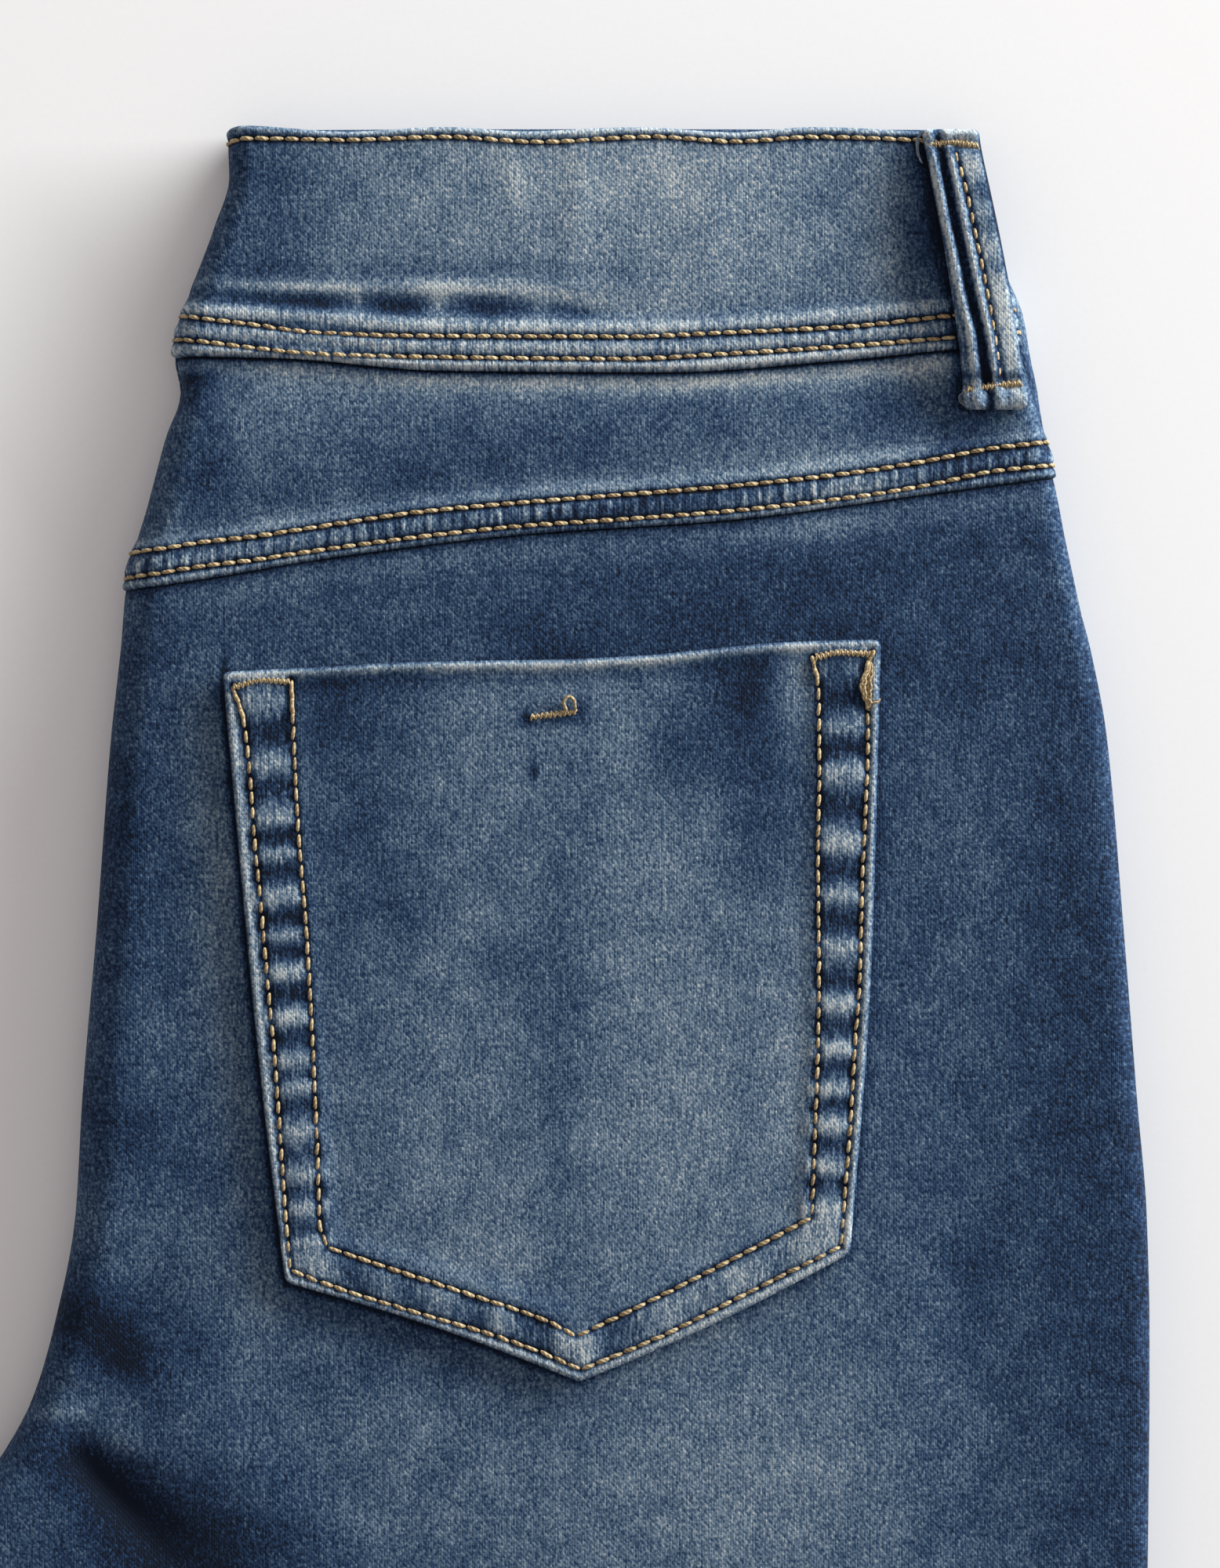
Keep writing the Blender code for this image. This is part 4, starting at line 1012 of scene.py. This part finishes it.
class JEANS_OT_back_leg(bpy.types.Operator):
    """Cut the back leg from the yoke to the turned ankle hem"""

    bl_idname = "jeans.back_leg"
    bl_label = "Back Leg"

    def execute(self, context):
        across = columns(LEG_SPACING, LEG_WIDTH, 7, 6)
        halfway = (across[:-1] + across[1:])[(across[1:] > 1.07) & (across[:-1] < 1.18)] / 2
        across = np.sort(joined(across, halfway))
        top = edge_down(YOKE_EDGE, across) + GAP / 2
        near_top = joined(EDGE_PLACES[:3], spaced(0.8, 12.0, 1.4))
        sections = joined(spaced(114.0, 330.0, LEG_SPACING), spaced(334.6, 1012.0, 4.8))
        low_edge = (sections > 242.0) & (sections < 270.0)
        sections = np.sort(joined(sections, sections[low_edge] + LEG_SPACING / 2))
        settled = ease(sections, *SLANT_SETTLES)[:, None]
        slanting = sections[:, None] + (top - top.mean()) * (1 - settled)
        hem = LENGTH - joined(EDGE_PLACES[:3], spaced(0.8, 16.0, 1.0))[::-1]
        down = joined(top + near_top[:, None], slanting, np.repeat(hem[:, None], len(across), axis=1))
        x = cloth_point(np.broadcast_to(across, down.shape), down)[..., 0]
        from_hem, from_top = LENGTH - down, down - top
        lift = CLOTH + smooth(HEM_SEAM, "rise", from_hem) + soft_spots(LEG_CREASES, x, down)
        lift *= rounded(lowest(from_hem, from_top + 0.3))
        fade = LEG_TONE + soft_spots(LEG_WEAR_LIGHT_AND_SHADE, x, down)
        # Paler at the worn hem; painted shade in the crevice under the yoke's edge
        fade += 0.25 * bell(from_hem, 0.0, 1.6) - 0.3 * bell(from_top, 0.0, 0.8)
        fade += 0.15 * bell(from_top, 3.6, 3.0)
        # Painted shadow of the pocket on the leg along its left and lower edges
        fade -= POCKET_PAINTED_SHADOW * painted_pocket_shadow(x, down)
        rub = 0.6 * (1 - ease(from_hem, 6.0, 14.0))
        rows = [round_cloth(HEM_ROW, CLOTH + LEG_ROW)]
        top_panel("leg_cloth", "back_leg", down, across, lift, fade, rub, rows,
                  "stone_washed_denim")
        return {"FINISHED"}


def painted_loop_shadow(x, down):
    """Closeness to the belt loop's left edge: the loop's painted shadow on the cloth beneath."""
    left = smooth(LOOP, "x", down) - smooth(LOOP, "width", down) / 2
    reach = np.where(x < left, 2.2, 5.0)
    return np.exp(-np.abs((x - left) / reach) ** 1.4) * (1 - ease(down, 58.0, 62.0)) * ease(down, -2.0, 4.0)


def seamed_panel(across, top, edge, near_top, middle, near_edge):
    """Grid of a panel that is felled at its lower edge: places down, plan x and distances from both edges."""
    down = rows_between(top, edge, joined(EDGE_PLACES, near_top), middle, joined(EDGE_PLACES, near_edge))
    return down, cloth_point(np.broadcast_to(across, down.shape), down)[..., 0], edge - down, down - top


class JEANS_OT_back_yoke(bpy.types.Operator):
    """Cut the slanting back yoke, felled over the top of the leg"""

    bl_idname = "jeans.back_yoke"
    bl_label = "Back Yoke"

    def execute(self, context):
        across = columns(PANEL_SPACING, YOKE_WIDTH)
        top, edge = edge_down(BAND_EDGE, across) + GAP / 2, edge_down(YOKE_EDGE, across) - GAP / 2
        near_edge = joined(spaced(1.0, 8.6, 0.32), spaced(9.2, 12.0, 0.7))
        down, x, from_edge, from_top = seamed_panel(across, top, edge, spaced(1.2, 5.0, 0.75), 22, near_edge)
        between = bell(from_edge, 4.4, 2.0, 4)
        ribs = between * (0.13 * wobble(x, 2.9) + 0.07 * wobble(x + 9, 1.9)) * (0.7 + 0.3 * wobble(x, 47.0))
        lift = CLOTH + smooth(YOKE_SEAM, "rise", from_edge) + ribs
        lift *= rounded(lowest(from_edge, from_top + 0.3))
        fade = (YOKE_TONE + soft_spots(YOKE_FADES, x, down) + 4.6 * ribs
                + smooth(YOKE_SEAM, "fade", from_edge))
        fade += (0.26 + 0.1 * wobble(x, 31.0)) * bell(from_top, 2.2, 1.6)
        # Painted shadow in the crevice under the waistband's edge, and the belt loop's painted shadow beside
        # its left edge
        fade -= 0.7 * bell(from_top, 0.0, 0.55) + LOOP_PAINTED_SHADOW * painted_loop_shadow(x, down)
        fade -= 0.2 * ease(across, 2.4, 2.95)
        rows = [round_cloth(row, CLOTH + YOKE_ROW) for row in (YOKE_UPPER, YOKE_LOWER)]
        rub = 1 - ease(from_edge, 6.0, 9.0)
        top_panel("yoke_cloth", "back_yoke", down, across, lift, fade, rub, rows,
                  "stone_washed_yoke_denim")
        return {"FINISHED"}


class JEANS_OT_waistband(bpy.types.Operator):
    """Cut the wide double waistband, with its raised and worn lower edge"""

    bl_idname = "jeans.waistband"
    bl_label = "Waistband"

    def execute(self, context):
        across = columns(PANEL_SPACING, BAND_WIDTH)
        top, edge = edge_down(WAIST_EDGE, across), edge_down(BAND_EDGE, across) - GAP / 2
        near_edge = joined(spaced(1.0, 9.6, 0.32), spaced(10.2, 14.0, 0.65))
        down, x, from_edge, from_top = seamed_panel(across, top, edge, spaced(0.95, 4.9, 0.33), 36, near_edge)
        between = bell(from_edge, 5.0, 2.1, 4) + 0.5 * bell(from_edge, 9.4, 1.4)
        ribs = between * (0.09 * wobble(x, 2.7) + 0.05 * wobble(x + 5, 1.6)) * (0.7 + 0.3 * wobble(x, 53.0))
        lift = BAND_CLOTH + smooth(BAND_SEAM, "rise", from_edge) + ribs
        lift += soft_spots(BAND_CREASES, x, down) + 0.2 * bell(from_top, 1.1, 1.0)
        lift *= rounded(lowest(from_edge, from_top), 1.1)
        fade = (BAND_TONE + soft_spots(BAND_WEAR_AND_SHADE, x, down) + 2.0 * ribs
                + smooth(BAND_SEAM, "fade", from_edge))
        # Paler at the worn top edge; the belt loop's painted shadow beside its left edge
        fade += 0.26 * bell(from_top, 0.8, 1.0) - LOOP_PAINTED_SHADOW * painted_loop_shadow(x, down)
        fade -= 0.34 * ease(across, 2.3, 2.9) * ease(down, 24.0, 34.0)
        rows = [round_cloth(row, BAND_CLOTH + rise)
                for row, rise in ((BAND_UPPER, BAND_ROW), (BAND_LOWER, BAND_ROW), (WAIST_ROW, 0.1))]
        rub = 1 - ease(from_edge, 9.0, 12.0)
        top_panel("waistband_cloth", "waistband", down, across, lift, fade, rub, rows,
                  "stone_washed_waistband_denim")
        return {"FINISHED"}


def pocket_plan(across, share):
    """Plan position on the pocket: across from left to right, share from mouth to lower edge."""
    left_top, left_low = POCKET_LEFT["down"][[0, -1]]
    right_top, right_low = POCKET_RIGHT["down"][[0, -1]]
    tip_across = (POCKET_TIP[0] - POCKET_LEFT["x"][-1]) / (POCKET_RIGHT["x"][-1] - POCKET_LEFT["x"][-1])
    top = left_top + (right_top - left_top) * across + smooth(MOUTH_CURVE, "sag", across)
    before_tip = across < tip_across
    to_tip = np.where(before_tip, across / tip_across, (1 - across) / (1 - tip_across))
    corner = np.where(before_tip, left_low, right_low)
    bow = np.where(before_tip, -POCKET_EDGE_BOW, POCKET_EDGE_BOW) * np.sin(math.pi * to_tip)
    bottom = corner + (POCKET_TIP[1] - corner) * to_tip + bow
    left = smooth(POCKET_LEFT, "x", left_top + (left_low - left_top) * share)
    right = smooth(POCKET_RIGHT, "x", right_top + (right_low - right_top) * share)
    return left + (right - left) * across, top + (bottom - top) * share


def rounded_corner(from_side, from_end):
    """How far points near a square corner move in, along both edges, to make it round."""
    a, b = (np.clip(1 - distance / POCKET_CORNER, 0.0, 1.0) for distance in (from_side, from_end))
    return POCKET_CORNER * a * (1 - np.sqrt(1 - b * b / 2)), POCKET_CORNER * b * (1 - np.sqrt(1 - a * a / 2))


def in_strip_at(distance, inner_start, inner_end):
    """Share of the puckered strip along an edge, from the outer row to where it fades out inside."""
    return ease(distance, STRIP[0] - 1, STRIP[0] + 0.6) * (1 - ease(distance, inner_start, inner_end))


class JEANS_OT_back_pocket(bpy.types.Operator):
    """Sew on the five-sided patch pocket, puckered between its rows"""

    bl_idname = "jeans.back_pocket"
    bl_label = "Back Pocket"

    def execute(self, context):
        strip = joined(EDGE_PLACES, spaced(1.1, 14.1, 0.45))
        sides = joined(strip, spaced(15.0, POCKET_WIDTH - 15.0, 0.9), POCKET_WIDTH - strip[::-1])
        mouth = joined(EDGE_PLACES, spaced(1.1, 5.0, 0.5), spaced(5.8, POCKET_DEPTH - 16.4, 0.9))
        across, share = np.meshgrid(sides / POCKET_WIDTH,
                                    joined(mouth, POCKET_DEPTH - 1.06 * strip[::-1]) / POCKET_DEPTH)
        x, down = pocket_plan(across, share)
        from_side, from_mouth = lowest(across, 1 - across) * POCKET_WIDTH, share * POCKET_DEPTH
        corner_x, corner_down = rounded_corner(from_side, lowest(share, 1 - share) * POCKET_DEPTH)
        x = x + np.where(across < 0.5, corner_x, -corner_x)
        down = down + np.where(share < 0.5, corner_down, -corner_down)
        slope = np.where(x < POCKET_TIP[0], 0.32, -0.49)
        from_low = (1 - share) * POCKET_DEPTH / np.hypot(1, slope)
        rise = np.maximum.reduce([smooth(POCKET_EDGE, "rise", from_side),
                                  smooth(POCKET_EDGE, "rise", from_low),
                                  smooth(POCKET_MOUTH, "rise", from_mouth)])
        in_strip = in_strip_at(from_side, STRIP[1] - 1.2, STRIP[1] + 0.6)
        in_low = in_strip_at(from_low, STRIP[1] - 4.2, STRIP[1] - 2.6)
        puff_side = np.where(across < 0.5, smooth(LEFT_PUCKERS, "puff", down + 0.12 * (x + 52)),
                             smooth(RIGHT_PUCKERS, "puff", down))
        puff = in_strip * (1 - in_low) * puff_side + 0.8 * in_low * smooth(LOW_PUCKERS, "puff", x)
        rim = lowest(from_side, from_low, from_mouth)
        lift = (POCKET_BODY + rise + 0.28 * puff) * rounded(rim)
        on = across_at(x, down)
        normal = cloth_normal(on, down)
        inside = cloth_point(on, down) + normal * (CLOTH + GAP)
        lines = [on_cloth(row, CLOTH + GAP + POCKET_BODY + POCKET_ROW) for row in POCKET_OUTER + POCKET_INNER]
        close, hole = near_rows(inside + normal * lift[..., None], lines)
        fade = (POCKET_TONE + soft_spots(POCKET_FADES, x, down) + 0.6 * np.maximum(puff, 0.0)
                + 0.46 * np.minimum(puff, 0.0) - 0.06 * in_strip)
        fade += 0.5 * bell(rim, 1.2, 1.15) + 0.12 * bell(from_mouth, 0.7, 0.9)
        fade -= 0.14 * bell(from_mouth, 3.4, 1.4)
        # Painted shade along the pocket's left and lower-left edges, the side away from the light
        fade -= 0.9 * bell(lowest(across * POCKET_WIDTH, from_low), 0.0, 0.25) * (1 - ease(x, 0.0, 20.0))
        fade -= 0.4 * bell(lowest((1 - across) * POCKET_WIDTH, from_mouth), 0.0, 0.5)
        # Darker along the sewn rows: unworn dye and painted shade in the needle grooves
        fade -= 0.9 * NEEDLE_DYE_AND_SHADE * (0.6 * close + 0.38 * hole)
        outside = inside + normal * pressed(lift, close, hole)[..., None]
        item = add_cloth("pocket_cloth", inside, outside, fade, np.maximum(in_strip, in_low),
                         denim_material("worn_pocket_denim"))
        finish_piece(item, "back_pocket")
        return {"FINISHED"}


def loop_point(share, down, lift):
    """Point on the belt loop: share across its width, lifted from its underside."""
    from_end = np.minimum(down - LOOP["down"][0], LOOP["down"][-1] - down)
    corner = 1 - np.sqrt(1 - np.clip(1 - from_end / LOOP_CORNER, 0.0, 1.0) ** 2)
    width = smooth(LOOP, "width", down) - 2 * LOOP_CORNER * corner
    x = smooth(LOOP, "x", down) + (share - 0.5) * width
    side_round = outline("side_round", down)
    round_start = outline("side", down) - side_round
    past_round = np.clip(x - round_start, 0.0, None) / side_round
    point = cloth_point(across_at(np.minimum(x, round_start), down), down)
    point[..., 0] = x
    point[..., 2] += smooth(LOOP, "under", down) - LOOP_DROOP * past_round ** 2 + lift
    return point


class JEANS_OT_belt_loop(bpy.types.Operator):
    """Fold the belt loop, ridged lengthwise and turned under at both ends"""

    bl_idname = "jeans.belt_loop"
    bl_label = "Belt Loop"

    def execute(self, context):
        first, last = LOOP["down"][[0, -1]]
        downs = joined(first + EDGE_PLACES, spaced(first + 1.0, last - 1.0, 0.42), last - EDGE_PLACES[::-1])
        sides = joined([0.0, 0.01, 0.025], spaced(0.05, 0.95, 0.027), [0.975, 0.99, 1.0])
        down, share = np.meshgrid(downs, sides, indexing="ij")
        cleft = bell(share, 0.43, 0.045)
        from_end = lowest(down - first, last - down)
        width = smooth(LOOP, "width", down)
        flat_end = ease(from_end, 3.0, 7.0)
        bent = np.clip(share + 0.008 * wobble(down, 17.0) - 0.002 * np.clip(down - 16, 0, 40)
                       - 0.05 * ease(down, 33.0, 45.0), 0.0, 1.0)
        form = smooth(LOOP_FORM, "rise", bent)
        lift = smooth(LOOP, "thick", down) + form * (0.45 + 0.55 * flat_end) + 0.06 * wobble(down, 6.0)
        lift *= rounded(lowest(from_end, lowest(share, 1 - share) * width), 1.2)
        x = loop_point(share, down, 0.0)[..., 0]
        needle = bell(x, smooth(LOOP_ROW, "x", down), 0.7)
        notch = cleft * (1 - ease(last - down, 3.2, 4.6))
        top_notch = bell(share, 0.24, 0.075) * (1 - ease(down, 2.4, 3.4))
        lift -= 0.35 * needle * flat_end + 0.9 * notch + 0.7 * top_notch
        # Painted shade in the needle groove and in the notches pressed into the loop's ends
        fade = (LOOP_TONE + soft_spots(LOOP_FADES, x, down) - 0.6 * needle * flat_end
                - 0.6 * notch - 0.6 * top_notch)
        fade += smooth(LOOP_FORM, "fade", bent) * (0.3 + 0.7 * flat_end)
        fade += (0.14 * (1 - ease(from_end, 0.5, 3.0)) + 0.26 * (1 - ease(down, 1.6, 4.0))
                 - 0.45 * bell(down, 53.4, 1.0))
        # Darker just below the top tack, and painted shade along the right edge to dim the side that the
        # light strikes
        fade -= 0.3 * bell(down, 5.6, 0.8) + 0.6 * bell((1 - share) * width, 0.0, 0.5)
        down = down - 1.0 * cleft * ease(down, last - 3.0, last)
        outside = loop_point(share, down, np.maximum(lift, LOOP_THINNEST))
        item = add_cloth("loop_cloth", loop_point(share, down, 0.0), outside, fade, np.full(fade.shape, 0.5),
                         denim_material("worn_loop_denim"))
        finish_piece(item, "belt_loop")
        return {"FINISHED"}


def loop_line(row, lift):
    """Points and outward directions of a row on the belt loop."""
    x, down = sewn_line(row)
    share = (x - smooth(LOOP, "x", down)) / smooth(LOOP, "width", down) + 0.5
    thick = smooth(LOOP, "thick", down) + lift
    return loop_point(share, down, thick), np.tile((0.0, 0.0, 1.0), (len(x), 1))


class JEANS_OT_topstitching(bpy.types.Operator):
    """Sew the golden rows over every seam, hem and pocket edge"""

    bl_idname = "jeans.topstitching"
    bl_label = "Topstitching"

    def execute(self, context):
        sizes, chance = context.scene.jeans_sizes, np.random.default_rng(7)
        material = thread_material(context.scene.jeans_colours)
        sunk = -GROOVE_DEPTH * ROW_SHARE
        band, yoke, pocket = [], [], []
        for row, rise in ((WAIST_ROW, 0.1), (BAND_UPPER, 0.66), (BAND_LOWER, 0.62)):
            band += sew_row(*round_cloth(row, BAND_CLOTH + rise + sunk), sizes, chance)
        for row in (YOKE_UPPER, YOKE_LOWER):
            yoke += sew_row(*round_cloth(row, CLOTH + 0.62 + sunk), sizes, chance)
        ground = CLOTH + GAP + POCKET_BODY + 0.52 + sunk
        for row, (share, width, doubled) in zip(POCKET_OUTER + POCKET_INNER, 2 * POCKET_SEWING):
            pocket += sew_row(*on_cloth(row, ground), sizes, chance, share, width, doubled)
        hem = sew_row(*round_cloth(HEM_ROW, CLOTH + LEG_ROW + sunk), sizes, chance)
        loop = sew_row(*loop_line(LOOP_ROW, -0.3), sizes, chance, 0.7, 0.88)
        for name, threads in (("waistband", band), ("yoke", yoke), ("pocket", pocket),
                              ("hem", hem), ("loop", loop)):
            add_threads(name + "_topstitching", threads, material, chance)
        return {"FINISHED"}


class JEANS_OT_bar_tacks(bpy.types.Operator):
    """Sew the close bar tacks at the pocket corners and the loop ends"""

    bl_idname = "jeans.bar_tacks"
    bl_label = "Bar Tacks"

    def execute(self, context):
        width, chance = context.scene.jeans_sizes.tack_width * METRE, np.random.default_rng(11)
        material = bpy.data.materials["golden_topstitch_thread"]
        ground = CLOTH + GAP + POCKET_BODY + 0.5
        threads = sum((bar_tack(row, ground, width * 0.9, chance) for row in POCKET_TACKS), [])
        threads += bar_tack(CENTRE_TACK, CLOTH + GAP + POCKET_BODY, width * 0.85, chance)
        threads += sum((bar_tack(loop_line(row, 0.1), 0.0, width, chance) for row in LOOP_TACKS), [])
        add_threads("bar_tacks", threads, material, chance)
        return {"FINISHED"}


# Loose threads: a snarl at the pocket's right corner, a curled end on the centre tack, and frayed yarns
SNARL = named_table("x down lift", """
    74 113.6 0.2, 73.4 116 0.4, 72.6 119 0.6, 72.9 121.6 0.5, 73.4 124.6 0.2""")
SNARL_TAIL = named_table("x down lift", "72.8 121.2 0.6, 74 122.9 1, 75.2 122.6 0.9, 75.8 121.6 0.6")
TACK_CURL = named_table("x down lift", """
    7.4 125 0.2, 9.2 124.4 0.5, 8.7 122.8 0.8, 9.8 121.5 1, 10.9 122.4 0.8, 11.2 124.6 0.3""")
CURLED_TOP = named_table("x down lift", "86 1 2.6, 84.9 1.5 2, 84 3.2 1.3, 84.1 5.6 0.8, 85 8 0.5")
FRAYED_FOOT = named_table("x down lift", "94.6 56.4 2.6, 93.4 57.6 1.9, 93.8 59.4 1.4, 95.4 60.8 1.2")


def loose_thread(path, ground, half, wander, chance):
    """One thread along a path over the cloth, set aside from it by a random bow."""
    line = with_chord(path)
    whole = line["along"][-1]
    at = spaced(chance.uniform(0, 0.2) * whole, chance.uniform(0.72, 1.0) * whole, 0.4)
    x, down, lift = (smooth(line, key, at) for key in ("x", "down", "lift"))
    bow, rise = wander * chance.uniform(-1, 1), wander * chance.uniform(0, 0.5)
    hump = np.sin(math.pi * at / whole) ** 1.3
    x = x + bow * hump + 0.22 * wander * wobble(at + 9 * bow, 2.3)
    on = across_at(x, down)
    centres = cloth_point(on, down) + cloth_normal(on, down) * (ground + lift + rise * hump)[:, None]
    taper = half * (0.4 + 0.6 * np.minimum(1.0, 5 * hump))
    return swept(centres, np.array((0.0, 0.0, 1.0)), taper, taper, 6)


class JEANS_OT_loose_threads(bpy.types.Operator):
    """Leave the snarled, curled and frayed ends of the threads"""

    bl_idname = "jeans.loose_threads"
    bl_label = "Loose Threads"

    def execute(self, context):
        chance = np.random.default_rng(5)
        ground = CLOTH + GAP + POCKET_BODY
        ends = []
        for path, count, half, wander in ((SNARL, 16, 0.3, 1.2), (SNARL_TAIL, 4, 0.22, 0.4),
                                          (TACK_CURL, 3, 0.3, 0.3)):
            ends += [loose_thread(path, ground, half, wander, chance) for _ in range(count)]
        gold = bpy.data.materials["golden_topstitch_thread"]
        add_threads("thread_ends", ends, gold, chance)
        halves = (0.26, 0.22, 0.1, 0.09, 0.09, 0.08)
        yarns = [loose_thread(CURLED_TOP, BAND_CLOTH, half, 0.5, chance) for half in halves]
        yarns += [loose_thread(FRAYED_FOOT, CLOTH, 0.09, 0.9, chance) for _ in range(6)]
        add_threads("frayed_yarns", yarns, yarn_material(context.scene.jeans_colours), chance)
        return {"FINISHED"}


# Studio: where the camera looks, and the low key light from the side seams' side
VIEW_CENTRE = (0.0185, 0.375, 0.015)
FRAME_HEIGHT = 0.33333
LENS = 100.0
SENSOR = 36.0
KEY_AZIMUTH = 36.0
KEY_ELEVATION = 11.5
KEY_DISTANCE = 3.0
KEY_SIZE = (3.6, 0.5)
KEY_POWER = 280.0
KEY_COLOUR = (0.95, 1.0, 1.0)
FILL_POWER = 0.46
FILL_COLOUR = (1.0, 0.945, 0.94, 1.0)
FLOOR_SIZE = 12.0


class JEANS_OT_stage(bpy.types.Operator):
    """Set up the floor, the studio light and the camera straight above"""

    bl_idname = "jeans.stage"
    bl_label = "Stage"

    def execute(self, context):
        bpy.ops.object.select_all(action="DESELECT")
        bpy.ops.mesh.primitive_plane_add(size=FLOOR_SIZE, location=(0.0, 0.0, 0.0))
        floor = context.object
        floor.name = "floor"
        floor.data.materials.append(floor_material(context.scene.jeans_colours))
        azimuth, elevation = math.radians(KEY_AZIMUTH), math.radians(KEY_ELEVATION)
        level = math.cos(elevation)
        away = Vector((math.cos(azimuth) * level, math.sin(azimuth) * level, math.sin(elevation)))
        centre, turned = Vector(VIEW_CENTRE), away.to_track_quat("Z", "Y").to_euler()
        bpy.ops.object.light_add(type="AREA", location=centre + away * KEY_DISTANCE, rotation=turned)
        key = context.object
        key.name = "key_light"
        key.data.shape = "RECTANGLE"
        key.data.size, key.data.size_y = KEY_SIZE
        key.data.energy = KEY_POWER
        key.data.color = KEY_COLOUR
        key.visible_camera = False
        world = bpy.data.worlds.new("soft_studio")
        world.use_nodes = True
        background = world.node_tree.nodes["Background"].inputs
        background["Color"].default_value, background["Strength"].default_value = FILL_COLOUR, FILL_POWER
        context.scene.world = world
        context.scene.view_settings.view_transform = "Standard"
        height = FRAME_HEIGHT * LENS / SENSOR
        bpy.ops.object.camera_add(location=centre + Vector((0.0, 0.0, height)), rotation=(0.0, 0.0, 0.0))
        camera = context.object
        camera.data.lens, camera.data.sensor_width = LENS, SENSOR
        context.scene.camera = camera
        return {"FINISHED"}


STEPS = (JEANS_OT_lower_layers, JEANS_OT_back_leg, JEANS_OT_back_yoke, JEANS_OT_waistband,
         JEANS_OT_back_pocket, JEANS_OT_belt_loop, JEANS_OT_topstitching, JEANS_OT_bar_tacks,
         JEANS_OT_loose_threads, JEANS_OT_stage)


class JEANS_PT_sewing(bpy.types.Panel):
    """Sizes, colours and steps of the garment, in order"""

    bl_idname = "JEANS_PT_sewing"
    bl_label = "Folded Skinny Jeans"
    bl_space_type = "VIEW_3D"
    bl_region_type = "UI"
    bl_category = "Jeans"

    def draw(self, context):
        for settings in (context.scene.jeans_sizes, context.scene.jeans_colours):
            for name in settings.__annotations__:
                self.layout.prop(settings, name)
        for step in STEPS:
            self.layout.operator(step.bl_idname)


CLASSES = (JeansSizes, JeansColours) + STEPS + (JEANS_PT_sewing,)


def register():
    """Add the settings, operators and panel to Blender."""
    for each in CLASSES:
        bpy.utils.register_class(each)
    bpy.types.Scene.jeans_sizes = PointerProperty(type=JeansSizes)
    bpy.types.Scene.jeans_colours = PointerProperty(type=JeansColours)


def unregister():
    """Take them out again."""
    del bpy.types.Scene.jeans_colours
    del bpy.types.Scene.jeans_sizes
    for each in reversed(CLASSES):
        bpy.utils.unregister_class(each)


def main():
    register()
    for step in STEPS:
        group, name = step.bl_idname.split(".")
        getattr(getattr(bpy.ops, group), name)()


if __name__ == "__main__":
    main()
